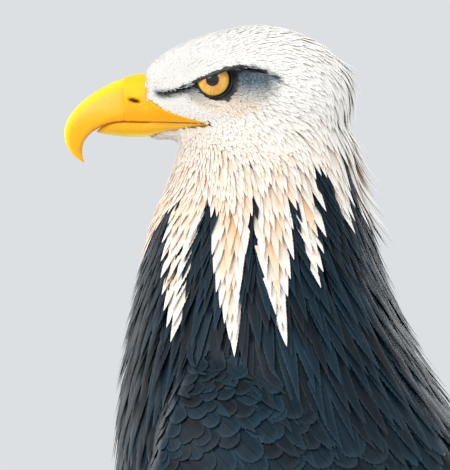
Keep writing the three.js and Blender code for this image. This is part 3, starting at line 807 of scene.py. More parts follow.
# Bare skin at the root of the bill: soft, waxy and finely pebbled, a little duller and more orange than the
# horn. Sizes of patterns are in millimetres, and patches is how many cloudy patches there are to the metre.
# Its colour is lighter towards the top, a painted highlight broken up in cloudy patches, and the nostril's hollow
# is painted dark as shade.
skinOfCere = {"high": "#fcc60c", "low": "#f2a300", "nostrilShade": "#3a2208", "pebble": 0.5, "patches": 130, "surface": {
    "Roughness": 0.46, "IOR": 1.45, "Specular IOR Level": 0.3, "Subsurface Weight": 0.2,
    "Subsurface Radius": (1.0, 0.5, 0.15), "Subsurface Scale": 0.003}}


def cereRecipe(add):
    grain = add("Attribute", {}, "Vector", attribute_name="grain")
    hollow = add("Attribute", {}, "Fac", attribute_name="hollow")
    place = add("TexCoord", {}, "Object")
    # The pebbles are half a millimetre across, too fine to show, so they are drawn twice as coarse.
    pebbles = add("TexVoronoi", {"Vector": place, "Scale": 1000 / (2 * skinOfCere["pebble"])})
    cloud = add("TexNoise", {"Vector": place, "Scale": skinOfCere["patches"], "Detail": 4.0})
    # painted highlight: lighter towards the top of the skin, in cloudy patches; painted shade in the nostril's
    # hollow
    level = add("Math", {0: cloud, 1: 0.6, 2: add("SeparateXYZ", {0: grain}, "Z")}, operation="MULTIPLY_ADD")
    base = skinOfCere["low"]
    for share, colour in ((add("MapRange", {0: level, 1: 0.35, 2: 1.1}, **smooth), "high"), (hollow, "nostrilShade")):
        base = add("Mix", {0: share, 6: base, 7: skinOfCere[colour]}, 2, **ofColours)
    height = add("Math", {0: cloud, 1: 1.5, 2: pebbles}, operation="MULTIPLY_ADD")
    return {"Base Color": base, "Normal": add("Bump", {"Height": height, "Strength": 0.25, "Distance": 0.0004})}


# Claw keratin: black, dense and worn smooth, with a gloss along the ridge and fine lines towards the tip.
hornOfClaw = {"black": "#15120f", "brown": "#3a3029", "line": 0.4, "patches": 170, "surface": {
    "Roughness": 0.32, "IOR": 1.54, "Coat Weight": 0.15, "Coat Roughness": 0.2}}


def clawRecipe(add):
    place = add("TexCoord", {}, "Object")
    cloud = add("TexNoise", {"Vector": place, "Scale": hornOfClaw["patches"], "Detail": 5.0})
    # lines 0.4 mm apart don't show, so they are drawn twice as coarse
    fine = add("TexNoise", {"Vector": place, "Scale": 1000 / hornOfClaw["line"] / 2, "Detail": 2.0})
    amount = add("MapRange", {0: cloud, 1: 0.45, 2: 0.8})
    base = add("Mix", {0: amount, 6: hornOfClaw["black"], 7: hornOfClaw["brown"]}, 2, **ofColours)
    return {"Base Color": base, "Roughness": add("MapRange", {0: cloud, 3: 0.2, 4: 0.5}),
            "Normal": add("Bump", {"Height": fine, "Strength": 0.2, "Distance": 0.0002})}


# The wet eye: a black pupil in a ring of amber fibres under a clear, glossy cornea.
wetIris = {"inner": "#e58a10", "outer": "#ffcb45", "pale": "#ffe9a0", "fleck": "#b8640c", "rim": "#130d07",
           "pupil": "#020202", "white": "#3b332c", "pupilShare": 0.345, "surface": {
               "Roughness": 0.12, "IOR": 1.38, "Coat Weight": 1.0, "Coat Roughness": 0.03, "Coat IOR": 1.45}}


def eyeRecipe(add):
    gaze = add("Attribute", {}, "Vector", attribute_name="gaze")
    share = add("SeparateXYZ", {0: gaze})
    spokes = add("VectorMath", {0: gaze, 1: (2.2, 11.0, 11.0)}, operation="MULTIPLY")
    fibres = add("TexNoise", {"Vector": spokes, "Scale": 1.0, "Detail": 5.0})
    blotch = add("TexNoise", {"Vector": gaze, "Scale": 2.6, "Detail": 2.0})
    toRim = add("MapRange", {0: share, 1: 0.36, 2: 0.92})
    level = add("Math", {0: blotch, 1: 0.5, 2: toRim}, operation="MULTIPLY_ADD", use_clamp=True)
    base, hole = wetIris["inner"], wetIris["pupilShare"]
    for amount, colour in (
            (add("Math", {0: level, 1: 0.2}, operation="SUBTRACT", use_clamp=True), "outer"),
            (add("MapRange", {0: fibres, 1: 0.5, 2: 0.75, 4: 0.7}), "pale"),
            (add("MapRange", {0: fibres, 1: 0.47, 2: 0.28, 4: 0.6}), "fleck"),
            (add("MapRange", {0: share, 1: 0.86, 2: 1.0}, **smooth), "rim"),
            (add("MapRange", {0: share, 1: 1.05, 2: 1.2}), "white"),
            (add("MapRange", {0: share, 1: hole + 0.02, 2: hole - 0.02}, **smooth), "pupil")):
        base = add("Mix", {0: amount, 6: base, 7: wetIris[colour]}, 2, **ofColours)
    return {"Base Color": base}


billHorn = newMaterial("bill_keratin_grown_polished", hornOfBill["surface"], billRecipe)
cereSkin = newMaterial("cere_skin_waxy", skinOfCere["surface"], cereRecipe)
clawHorn = newMaterial("claw_keratin_worn_smooth", hornOfClaw["surface"], clawRecipe)
wetEye = newMaterial("eye_cornea_wet", wetIris["surface"], eyeRecipe)

# Half of a ring round the upper bill, from the middle of the ridge to the middle of the palate, in shares of
# half the width and of the height. The lower bill is the same turned over. Each row of a bill is its ridge and
# its edge from the eye, both as ahead and up, half its width, and how round it is.
billSection = [
    (0, 1), (0.19, 0.992), (0.40, 0.955), (0.60, 0.875), (0.77, 0.74), (0.89, 0.57), (0.965, 0.38), (1.0, 0.2),
    (0.995, 0.07), (0.95, -0.012), (0.86, 0.03), (0.62, 0.13), (0.32, 0.17), (0, 0.18),
]
edgePoint = 9  # the edge of the bill in that list
upperBill = np.array([
    (47.6, 2.3, 47.8, -20.6, 11.5, 0.0), (52, 1.6, 50.5, -21.0, 11.4, 0.0),
    (59.5, -1.8, 56.0, -21.9, 10.6, 0.05), (67.5, -6.6, 61.4, -24.0, 9.2, 0.15),
    (75.6, -13.6, 66.4, -27.2, 7.3, 0.3), (80.8, -21.4, 69.6, -31.2, 5.5, 0.5),
    (82.0, -29.4, 71.6, -35.4, 3.8, 0.75), (79.4, -36.6, 72.2, -38.9, 2.3, 0.95),
    (75.0, -41.4, 71.6, -41.6, 1.2, 1), (71.4, -43.5, 70.9, -43.2, 0.35, 1.0),
])
lowerBill = np.array([
    (4, -25.2, 2.5, -23.7, 25.0, 0.1), (14, -26.4, 12, -23.2, 20.5, 0.1), (26, -27.8, 25, -22.5, 15.0, 0.1),
    (38, -29.4, 37, -21.9, 11.6, 0.1), (48, -29.4, 48, -21.5, 9.9, 0.1), (56, -28.6, 56.4, -21.9, 8.0, 0.2),
    (61.5, -27.8, 61.6, -23.9, 5.0, 0.6), (64.2, -27.2, 64.2, -26.2, 1.6, 1.0),
])
cereRings = np.array([
    (49.3, 2.1, 49.0, -20.5, 11.5, 0), (49.4, 2.8, 48.6, -20.9, 12.1, 0), (45, 4.1, 44, -21.1, 12.6, 0),
    (39, 5.0, 38, -21.3, 13.3, 0), (32, 2.0, 31, -21.5, 14.6, 0), (25, -4.0, 23.5, -21.8, 17.4, 0),
    (17, -10.0, 16, -22.2, 20.6, 0), (9.5, -15.0, 9, -22.7, 23.6, 0), (3.0, -20.5, 2.5, -23.2, 26.0, 0),
])
nostril = {"at": (43.6, -10.3), "long": 4.3, "tall": 1.4, "slope": math.radians(-14), "depth": 2.6}


def billGrid(table, rows, columns):
    t = np.linspace(0, 1, rows)
    ridge, edge, size = (splineAt(table[:, i:i + 2], t) for i in (0, 2, 4))
    profile = splineAt(billSection, np.linspace(0, 1, columns // 2 + 1))
    polar = np.linspace(0, math.pi, columns // 2 + 1)
    circle = np.stack([np.sin(polar), (1 + np.cos(polar)) / 2], 1)
    rounding = np.clip(size[:, 1], 0, 1)[:, None, None]
    ring = profile[None] * (1 - rounding) + circle[None] * rounding
    ring = np.concatenate([ring, ring[:, -2:0:-1] * [-1, 1]], 1)
    points = np.zeros((rows, columns, 3))
    points[..., 1:] = edge[:, None] + (ridge - edge)[:, None] * ring[..., 1:] + eyeAt[1:]
    points[..., 0] = np.maximum(size[:, 0], 0.05)[:, None] * ring[..., 0]
    return points, ring


# how high the yellow skin reaches on the side of the face, and how low, both from the eye
def yellowTop(ahead):
    return np.interp(ahead, [2, 5, 13.6, 21.8, 29.4, 38.2, 45.2, 46.5, 47],
                     [-22.9, -22.2, -20.2, -17.5, -14.2, -8.3, -0.8, 4, 30])


def yellowFoot(ahead):
    return np.interp(ahead, [2, 5, 15, 25, 33, 38, 39], [-23.4, -23.8, -24.8, -26.2, -28.2, -31, -60])


# how far inside the yellow skin's outline a point of the profile is
def yellowShare(points):
    ahead, up = points[..., 1] - eyeAt[1], points[..., 2] - eyeAt[2]
    return np.where(ahead > 1.5, np.minimum((yellowTop(ahead) - up) * 0.8, up - yellowFoot(ahead)), -9.0)


# how far the tips of the feathers stand from the middle plane at a point of the profile
def coatSide(points):
    hits = [coat.tree.ray_cast((90.0, p[1], p[2]), (-1, 0, 0), 90)[0] for p in points.reshape(-1, 3).tolist()]
    return np.array([hit.x if hit else 0.0 for hit in hits]).reshape(points.shape[:-1])


# The sides of the yellow skin are level with the tips of the face's feathers, and dip under them at its edge.
# The inside of the mouth keeps its own shape, drawn out or in as much as the edge beside it.
def againstFace(points, proud):
    outer, side = coatSide(points), np.abs(points[..., 0])
    inside = smoothStep(-1.6, 0.8, yellowShare(points))
    level = np.maximum(side, np.where(outer > 0, outer + proud, 0))
    low = np.where(outer > 0, np.minimum(side, np.maximum(outer - 3.0, 0)), side)
    back = 1 - smoothStep(34, 38, points[..., 1] - eyeAt[1])
    made = side + (low + (level - low) * inside - side) * back
    columns = points.shape[1]
    last = int(round(columns // 2 * edgePoint / (len(billSection) - 1)))
    place = np.arange(columns)
    palate = (place > last) & (place < columns - last)
    drawn = made[:, last:last + 1] / np.maximum(side[:, last:last + 1], 0.1)
    made = np.where(palate[None], side * drawn - 0.25 * (side > 1), made)
    return np.where((side > 4) | palate[None], np.sign(points[..., 0]) * made, points[..., 0])


# Grain gives the way along and round a horn, in millimetres, and the height on it; hollow is 1 in the nostril.
def hornPiece(name, points, ring, node, material, hollow=None):
    rows, columns = points.shape[:2]
    along = np.append(0, np.cumsum(np.linalg.norm(np.diff(points.mean(1), axis=0), axis=1)))
    around = np.linalg.norm(np.diff(points, axis=1, append=points[:, :1]), axis=2).cumsum(1)
    grain = np.stack([np.repeat(along[:, None], columns, 1), around, ring[..., 1]], -1).reshape(-1, 3)
    hollow = np.zeros((rows, columns)) if hollow is None else hollow
    ends = np.array([[0, 0, ring[0, :, 1].mean()], [along[-1], 0, ring[-1, :, 1].mean()]])
    piece = solidFrom(name, outward(*closedLoft(points)))
    attribute(piece.data, "grain", np.vstack([grain, ends]))
    attribute(piece.data, "hollow", np.stack([np.append(hollow.ravel(), [0, 0])] * 3, 1))
    finished(piece, material, [node])


# a slit sunk in the side of the yellow skin, with a low rim
def pierced(points):
    ahead, up = (points[..., i + 1] - eyeAt[i + 1] - nostril["at"][i] for i in (0, 1))
    c, s = math.cos(nostril["slope"]), math.sin(nostril["slope"])
    reach = np.hypot((ahead * c - up * s) / nostril["long"], (ahead * s + up * c) / nostril["tall"])
    deep = (1 - smoothStep(0.35, 1.05, reach)) * (np.abs(points[..., 0]) > 6)
    rim = np.exp(-((reach - 1.35) / 0.3) ** 2) * 0.28
    made = points.copy()
    made[..., 0] -= np.sign(points[..., 0]) * (deep * nostril["depth"] - rim)
    return made, deep


def growBill():
    points, ring = billGrid(upperBill, 150, 96)
    hornPiece("bill_upper_horn", points, ring, "bill_upper", billHorn)
    points, ring = billGrid(lowerBill, 90, 96)
    points[..., 0] = againstFace(points, proud=-0.15)
    hornPiece("bill_lower_horn", points, ring, "bill_lower", billHorn)
    points, ring = billGrid(cereRings, 130, 150)
    points[..., 0] = againstFace(points, proud=0.25)
    points, deep = pierced(points)
    hornPiece("bill_cere", points, ring, "cere", cereSkin, deep)


growBill()
print("bill grown")

claw = {"rise": math.radians(32), "sweep": math.radians(98), "rings": 12, "thick": 5.6, "tip": 0.3, "flat": 0.76,
        "rest": 0.3}  # rest is how far the tip stays off the floor


def clawPart(toe):
    rise, sweep, rest = claw["rise"], claw["sweep"], claw["rest"]
    radius = toe["claw"] / (2 * math.sin(sweep / 2))
    rings = []
    for i in range(claw["rings"]):
        share = i / (claw["rings"] - 1)
        way = rise - sweep * share
        ahead = 4 + toe["length"] + radius * (math.sin(rise) - math.sin(way))
        up = 9.5 + radius * (math.cos(way) - math.cos(rise))
        half = claw["thick"] * (1 - share) ** 0.75 + claw["tip"]
        out, over = math.sin(way) * half, math.cos(way) * half
        rings.append((ahead - out, up + over, ahead + out, up - over, half * claw["flat"]))
    points = ringGrid(rings, 46, 30, 0.95)
    points[..., 2] = np.interp(points[..., 2], [min(points[..., 2].min(), rest), 3, 60], [rest, 3, 60])
    return outward(*closedLoft(turnedOut(points, toe["turn"])))


def growClaws():
    for sign, side in ((1, "left"), (-1, "right")):
        for toe in toes:
            part = clawPart(toe)
            if sign < 0:
                part = outward(*mirroredParts([part])[0])
            name = "claw_" + side + "_" + toe["name"]
            finished(solidFrom(name + "_horn", part), clawHorn, [name])


growClaws()
print("claws grown")


# A ball with a bulging cornea. Its attribute gives the distance from the pupil's middle in shares of the iris,
# and the way round it.
def growEyes():
    rings, columns = 90, 72
    polar = np.concatenate([np.linspace(0.004, eye["edge"] * 1.2, 60),
                            np.linspace(eye["edge"] * 1.24, math.pi - 0.01, rings - 60)])[:, None]
    around, share = onceRound(columns)[None], polar / eye["edge"]
    radius = eye["ball"] + eye["cornea"] * np.maximum(1 - share ** 2, 0) ** 1.2
    out, ahead, up = np.broadcast_arrays(
        np.cos(polar) * radius, np.sin(polar) * radius * np.cos(around), np.sin(polar) * radius * np.sin(around))
    c, s = math.cos(eye["turn"]), math.sin(eye["turn"])
    points = np.stack([out * c - ahead * s, out * s + ahead * c, up], -1) + eyeAt
    gaze = np.stack(np.broadcast_arrays(share, np.cos(around), np.sin(around)), -1).reshape(-1, 3)
    gaze = np.vstack([gaze, [[0, 1, 0], [share[-1, 0], 1, 0]]])
    for sign, side in ((1, "left"), (-1, "right")):
        verts, faces = closedLoft(points)
        piece = solidFrom("eyeball_" + side, outward(verts * [sign, 1, 1], faces))
        attribute(piece.data, "gaze", gaze)
        finished(piece, wetEye, ["eye_" + side])


growEyes()
print("eyes set")

# The white of the head ends in lances: their edges, from the throat to the nape, as (ahead, up).
lances = [
    (260, 500), (124, 541), (102, 587), (105, 578), (108, 564), (108.6, 550), (106, 532), (101.5, 515),
    (100, 532), (97, 550), (93.3, 564), (87.6, 578), (83, 585.5), (82, 564), (81, 550), (77, 532),
    (69.4, 509.5), (67.7, 532), (65.2, 550), (62.7, 564), (57.4, 587), (56.4, 564), (54.8, 550), (50, 532),
    (42.6, 514), (43, 532), (39.8, 550), (37.2, 564), (35.4, 586), (33.2, 578), (31.2, 564), (25.6, 544),
    (22.5, 564), (21, 578), (17.8, 596), (13.4, 587), (6.5, 570), (6, 588), (5, 600), (-4, 566), (-90, 566),
    (-90, 900), (260, 900),
]
# Where long hackles have to end, so that the edges and the tip of each lance are whole.
lanceEnds = [
    (101.6, 517), (103.9, 525), (100.6, 525), (105.1, 533), (100.9, 533), (106.3, 541), (99.5, 541),
    (107.2, 550), (98.5, 550), (102.7, 550), (107, 559), (96, 559), (101.6, 559), (106.2, 568), (93, 568),
    (99.4, 568), (69.5, 511.5), (71.9, 519.5), (69.2, 519.5), (74.3, 527.5), (68.9, 527.5), (76.5, 535.6),
    (68.2, 535.6), (78.3, 543.7), (67, 543.7), (72.6, 543.7), (79.7, 553), (65.6, 553), (72.6, 553),
    (80.5, 563), (63.6, 563), (71.8, 563), (43.2, 516), (45.9, 524), (43.4, 524), (48.5, 532.4), (43.8, 532.4),
    (51.2, 541), (42.5, 541), (46.7, 541), (53.4, 550), (41, 550), (47.2, 550), (54.7, 559.5), (39, 559.5),
    (47.1, 559.5), (25.5, 545.5), (26.9, 553), (24.3, 553), (29.4, 562), (23.4, 562), (26.5, 562),
    (31.3, 570.5), (22.2, 570.5), (26.6, 570.5), (6.6, 572), (8.9, 579.5), (6.5, 579.5), (11.7, 587),
    (6.7, 587), (102.3, 529), (103.2, 537), (101.6, 541), (104.8, 546), (100.8, 546), (104.6, 554),
    (100.6, 554), (105.4, 563), (102.4, 563), (98.8, 563), (95.4, 563), (104.6, 571), (101.8, 571), (98.4, 571),
    (95, 571), (92, 571), (103.6, 578), (100.6, 578), (97, 578), (93, 578),
]


def isWhite(ahead, up):
    inside = np.zeros(ahead.shape, bool)
    for (a, u), (b, v) in zip(lances, lances[1:] + lances[:1]):
        if u != v:
            inside ^= ((up > u) != (up > v)) & (ahead < a + (b - a) * (up - u) / (v - u))
    return inside


# the markings at some places: dark or white, and a peach tinge down the lower neck that is partly painted shade;
# and painted shade under the brow: a grey-blue patch round and behind the eye and a dark line along the brow's
# underside
def toneAt(points, tips):
    side, ahead, up = np.abs(points[:, 0]), points[:, 1], points[:, 2]
    across, forward, high = np.abs(tips[:, 0]), tips[:, 1], tips[:, 2]
    white = isWhite(forward - 0.6, high) & isWhite(forward + 0.6, high)
    white &= (forward < 100) | (high > 538 + 1.5 * across)
    dark = ~(white | ((ahead < -117) & (up < 315)))
    inner = isWhite(forward - 3, high + 3) & isWhite(forward + 3, high + 3)
    # a peach tinge down the lower neck, stronger on feathers away from the lances' edges: partly a tinge of the
    # feathers and partly painted shade between the lances
    creamAndShade = smoothStep(656, 572, up) * smoothStep(138, 116, ahead) * smoothStep(-18, 24, ahead)
    creamAndShade *= 0.25 + 0.75 * inner
    a, u = ahead - eyeAt[1] + 4, up - eyeAt[2] + 2
    under = browHeight(ahead) - up
    # painted shade under the brow: a grey-blue patch round and behind the eye, kept below the brow's edge, darker
    # high up and peach lower down
    patch = (1 - smoothStep(0.82, 1.14, np.hypot(a / 23, u / 15.5))) * smoothStep(10, 22, side)
    patch *= smoothStep(-3.4, 0.6, under)
    # painted shadow: a dark line just under the brow's edge, from in front of the eye to behind it
    line = np.exp(-((under - 1.1) / 1.7) ** 2) * smoothStep(10, 15, side) * (side > browEdge(ahead) - 9)
    line *= smoothStep(37, 30, ahead - eyeAt[1]) * smoothStep(-33, -26, ahead - eyeAt[1])
    # The first number is dark feathers and the painted brow line, the second the peach tinge with the painted
    # peach shade below the eye, the third the painted shade under the brow.
    return np.stack([np.maximum(dark, line), np.maximum(creamAndShade, patch * smoothStep(2, -12, u) * 0.8),
                     np.maximum(patch * smoothStep(-15, 3, u), line)], 1)


# What both kinds of feather share: barbs that slant across each web, and fine darker lines along them and along
# the shaft. Real barbs are a third of a millimetre apart, too fine to show, so they are drawn 1.5 mm apart.
def barbs(add, feather):
    (across, along, chance), (long, wide, _) = (
        add("SeparateXYZ", {0: add("Attribute", {}, "Vector", attribute_name=label)}, slice(3))
        for label in ("vane", "size"))
    across = add("Math", {0: across}, operation="ABSOLUTE")
    down = add("Math", {0: along, 1: long}, operation="MULTIPLY")
    out = add("Math", {0: across, 1: wide}, operation="MULTIPLY")
    lean = add("Math", {0: out, 1: feather["slant"], 2: down}, operation="MULTIPLY_ADD")
    turns = add("Math", {0: lean, 1: 2 * math.pi / feather["barb"]}, operation="MULTIPLY")
    wave = add("Math", {0: turns}, operation="SINE")
    lines = add("Math", {0: wave, 1: feather["line"], 2: 1 - feather["line"]}, operation="MULTIPLY_ADD")
    shaft = add("MapRange", {0: across, 1: 0.03, 2: feather["shaft"][0], 3: feather["shaft"][1]})
    grey = add("Math", {0: lines, 1: shaft}, operation="MULTIPLY")
    tint = add("CombineColor", {0: grey, 1: grey, 2: grey})
    return across, along, chance, tint, add("Bump", {"Height": wave, "Strength": feather["relief"],
                                                     "Distance": 0.0002})


# Feather keratin without pigment: matt and soft, with the barbs showing as fine slanting lines on each web.
# The shade colour, the grey-blue and the near black are painted shade; the peach is partly painted shade.
whiteBarbs = {"white": "#f8f5ef", "creamAndShadeTint": "#fbcf9f", "browShade": "#465c68", "browLineShade": "#14191d", "shade": "#d6d2cc",
              "patches": 60, "barb": 1.5, "slant": -0.6, "line": 0.03, "shaft": (0.10, 0.93), "relief": 0.2,
              "surface": {
                  "Roughness": 0.7, "Specular IOR Level": 0.25, "Sheen Weight": 0.1, "Sheen Roughness": 0.5}}


def whiteRecipe(add):
    _, along, chance, tint, relief = barbs(add, whiteBarbs)
    browLineShade, creamAndShade, browShade = add("SeparateXYZ", {0: add("Attribute", {}, "Vector", attribute_name="tone")}, slice(3))
    cloud = add("TexNoise", {"Scale": whiteBarbs["patches"], "Detail": 3.0})
    # painted shade: each feather darker and more peach towards its root, where the feathers over it shade it
    root = add("MapRange", {0: along, 1: 0.95, 2: 0.35}, **smooth)
    some = add("MapRange", {0: chance, 1: 0.22, 2: 0.66}, **smooth)
    some = add("Math", {0: some, 1: 0.6, 2: 0.4}, operation="MULTIPLY_ADD")
    creamAndShadeAmount = add("Math", {0: creamAndShade, 1: some}, operation="MULTIPLY")
    deep = add("Math", {0: root, 1: 0.4, 2: 0.6}, operation="MULTIPLY_ADD", use_clamp=True)
    # the painted shade under the brow comes in cloudy patches
    browShadeCloud = add("Math", {0: cloud, 1: 0.5, 2: 0.72}, operation="MULTIPLY_ADD")
    colour = whiteBarbs["white"]
    # the peach tinge is partly painted shade; the grey-blue and the near black are painted shade and shadow under
    # the brow
    for blend, share, other in (
            ("MIX", add("Math", {0: creamAndShadeAmount, 1: deep}, operation="MULTIPLY"), whiteBarbs["creamAndShadeTint"]),
            ("MULTIPLY", add("Math", {0: root, 1: 0.5}, operation="MULTIPLY"), whiteBarbs["shade"]),
            ("MIX", add("Math", {0: browShadeCloud, 1: browShade}, operation="MULTIPLY", use_clamp=True), whiteBarbs["browShade"]),
            ("MIX", browLineShade, whiteBarbs["browLineShade"]), ("MULTIPLY", 1.0, tint)):
        colour = add("Mix", {0: share, 6: colour, 7: other}, 2, **ofColours, blend_type=blend)
    return {"Base Color": colour, "Normal": relief}


# Feather keratin full of melanin: near black, with a cold gloss on the barbs and worn, paler rims.
darkBarbs = {"dark": "#132a37", "deep": "#09151d", "rim": "#284555", "worn": "#2f383d", "barb": 1.5,
             "slant": -0.6, "line": 0.05, "shaft": (0.09, 0.5), "relief": 0.13, "surface": {
                 "Roughness": 0.46, "Specular IOR Level": 0.16, "Sheen Weight": 0.0}}


def darkRecipe(add):
    across, along, chance, tint, relief = barbs(add, darkBarbs)
    edge = add("MapRange", {0: across, 1: 0.62, 2: 1.0}, **smooth)
    tip = add("MapRange", {0: along, 1: 0.8, 2: 1.0}, **smooth)
    rim = add("Math", {0: add("Math", {0: edge, 1: tip}, operation="MAXIMUM"), 1: 0.6}, operation="MULTIPLY")
    body, pale = (add("Mix", {0: chance, 6: darkBarbs[one], 7: darkBarbs[other]}, 2, **ofColours)
                  for one, other in (("dark", "deep"), ("rim", "worn")))
    colour = add("Mix", {0: rim, 6: body, 7: pale}, 2, **ofColours)
    colour = add("Mix", {0: 1.0, 6: colour, 7: tint}, 2, **ofColours, blend_type="MULTIPLY")
    return {"Base Color": colour, "Normal": relief}


whitePlumage = newMaterial("white_feather_keratin_barbed", whiteBarbs["surface"], whiteRecipe)
darkPlumage = newMaterial("dark_feather_keratin_barbed", darkBarbs["surface"], darkRecipe)

long, broad, _ = coat.size.T
side, ahead, upward = np.abs(coat.centres[:, 0]), coat.centres[:, 1], coat.centres[:, 2]
isWing, isThigh = (coat.part == 2) | (coat.part == 3), (coat.part == 4) | (coat.part == 5)
isBody = ~(isWing | isThigh)
isFace = isBody & (upward > 600) & (long < 17)
neckArea, bodyArea = isBody & ~isFace & (upward > 500), isBody & ~isFace & (upward <= 500)
flightArea = isWing & ((ahead + 10) * 0.8 + (upward - 360) * 0.6 < 0)
# The shares of a feather's width and length that its neighbours leave bare, and how near they may come.
shown = {"across": 0.60, "along": 0.30, "near": 0.86}
spacing = np.sqrt(shown["across"] * broad * shown["along"] * long) * shown["near"]
# no feathers on the lids, along the brow's edge and on the yellow skin
fromBrow = browHeight(ahead) - upward
band = 1.8 * smoothStep(35, 27, ahead - eyeAt[1]) * smoothStep(-31, -22, ahead - eyeAt[1])
bare = (np.hypot((ahead - eyeAt[1]) / 1.04, upward - eyeAt[2]) < 11.8) & (fromBrow > -1) & (side > 14)
bare |= (np.abs(fromBrow - 0.9) < band) & (side > browEdge(ahead) - 9) & (side > 12)
bare |= (yellowShare(coat.centres) > -0.4) & (upward > 618) & isFace


# feathers over the chosen part of the coat
def grown(chosen, rows, steps, lift=0.4, swerve=0.10, drape=True, close=1.0, slim=1.0):
    spots, faces = scattered(spacing * close, chosen & ~bare)
    count = len(faces)
    length = coat.size[faces, 0] * random.uniform(0.85, 1.15, count) / slim ** 0.5
    width = coat.size[faces, 1] * random.uniform(0.88, 1.14, count) * slim
    point = np.clip(coat.size[faces, 2] + random.uniform(-0.1, 0.1, count), 0, 1)
    turn = random.normal(0, swerve, count)[:, None]
    way, normal = coat.way[faces], coat.normal[faces]
    way = way * np.cos(turn) + np.cross(normal, way) * np.sin(turn)
    depth = np.interp(length, [2, 4, 10, 25, 45, 60], [0.4, 0.7, 1.5, 3.2, 5.2, 6.4])
    rise = lift * random.uniform(-0.5, 1.6, count) * depth * 0.3
    # hackles stand out from the nape in two tufts
    for wide, front, middle, tall, least, most in ((15, 24, 621, 19, 1, 8), (10, 34, 663, 10, 0, 4.5)):
        tuft = (np.abs(spots[:, 0]) < wide) & (spots[:, 1] < front) & (np.abs(spots[:, 2] - middle) < tall)
        rise += tuft * random.uniform(least, most, count)
    line, normals = shafts(spots, way, length, depth, rise, steps)
    return vanes(line, normals, length, width, point, rows, ragged=0.06, drape=drape, splitting=0.02, web=0.96,
                 tone=toneAt(spots, line[:, -1]), unwrap=coat.unwrap[faces])


def keeping(group, mask):
    return {key: values if key in ("faces", "across", "along") else values[mask] for key, values in group.items()}


# the hackles that end at the given places on both sides
def leadHackles():
    ends = np.array([coat.tree.ray_cast((sign * 200.0, ahead, up), (-sign, 0, 0), 200)[0]
                     for sign in (1, -1) for ahead, up in lanceEnds])
    count = len(ends)
    length = random.uniform(32, 42, count)
    width = random.uniform(6.6, 8.2, count) * np.where(ends[:, 1] > 90, 1.35, 1.0)
    roots, faces = coat.nearest(ends - layAt(ends, bodyLay)[0] * length[:, None] * 0.98)
    depth = np.interp(length, [10, 25, 45], [1.5, 3.2, 5.2])
    lift = random.uniform(1.3, 2.1, count)
    line, normals = shafts(roots, unit(ends - roots), length, depth, lift, steps=8, stiff=0.0, aims=ends)
    tone = toneAt(ends + [0, 0, 12], ends)
    tone[:, 0] = 0
    return vanes(line, normals, length, width, np.full(count, 0.95), rows=16, ragged=0.05, drape=True, web=0.97,
                 tone=tone, unwrap=coat.unwrap[faces])


face = grown(isFace & (long < 5), rows=4, steps=3, lift=0.3, drape=False,
             swerve=0.16, close=0.68, slim=0.74)
crown = grown(isFace & (long >= 5), rows=6, steps=4, lift=0.3, drape=False,
              swerve=0.12, close=0.72, slim=0.78)
neck = grown(neckArea, rows=16, steps=8, lift=0.7, swerve=0.09, close=0.74, slim=0.86)
body = grown(bodyArea, rows=12, steps=7, lift=0.5, swerve=0.08)
thighs = grown(isThigh, rows=12, steps=7, lift=0.5)
arms = grown(isWing & ~flightArea, rows=12, steps=6, lift=0.25, swerve=0.06)
isDark = neck["tone"][:, 0] > 0.5
for name, group in (("face", face), ("crown", crown)):
    plumage(name + "_feathers", [group], whitePlumage)
plumage("neck_hackles", [keeping(neck, ~isDark), leadHackles()], whitePlumage)
for name, group in (
        ("mantle_hackles", keeping(neck, isDark)), ("body_feathers", keeping(body, body["tone"][:, 0] > 0.5)),
        ("thigh_feathers", thighs), ("wing_coverts", arms)):
    plumage(name, [group], darkPlumage)
print("contour feathers grown")


# Flight feathers lie on the folded wing from a root to a tip, each given as a share of the wing's length and of
# the way from its lower to its upper edge.
def wingPoint(along, height):
    a, b, size, tuck = ringsAt(wing["rings"], np.clip(along, 0, 1).ravel())
    across = np.clip(height.ravel(), 0.0, 1.0) * 2 - 1
    out = np.maximum(1 - np.abs(across) ** (2 / wing["square"]), 0) ** (wing["square"] / 2)
    side = size[:, 1] - np.where(across > 0, tuck[:, 0], tuck[:, 1]) * across ** 2 + size[:, 0] * out
    return np.column_stack([side, (a + b) / 2 + (a - b) / 2 * across[:, None]]).reshape(*along.shape, 3)


def flightGroup(own, roots, tips, lifts, widths, sign):
    share = np.linspace(0, 1, 15)[None]
    along = roots[:, :1] + (tips[:, :1] - roots[:, :1]) * share
    height = roots[:, 1:] + (tips[:, 1:] - roots[:, 1:]) * share + (share - share ** 2) * own["bend"]
    beside = np.minimum(height + 0.02, 0.97)
    normals = unit(np.cross(wingPoint(along + 0.004, height) - wingPoint(along - 0.004, height),
                            wingPoint(along, beside) - wingPoint(along, beside - 0.04)))
    normals *= np.sign(normals[..., :1].mean())
    rise = -5 + (5 + lifts[:, None]) * np.minimum(share / 0.22, 1)
    line = wingPoint(along, height) + normals * rise[..., None]
    length = np.linalg.norm(np.diff(line, axis=1), axis=2).sum(1)
    group = vanes(line, normals, length, widths * own["width"], np.full(own["count"], own["pointed"]), own["rows"],
                  camber=0.06, ragged=0.02, bias=own["bias"], splitting=0.006, web=0.985)
    if sign < 0:
        group["points"], group["faces"] = group["points"] * [-1, 1, 1], group["faces"][:, ::-1]
    return group


# Bias makes the lower web the wider one, and bend raises the middle of a feather over the line of its two ends.
flight = {"secondaries": {"count": 14, "width": 40, "pointed": 0.1, "rows": 46, "bias": 0.25, "bend": 0.0},
          "primaries": {"count": 9, "width": 31, "pointed": 0.35, "rows": 60, "bias": 0.3, "bend": 0.10}}


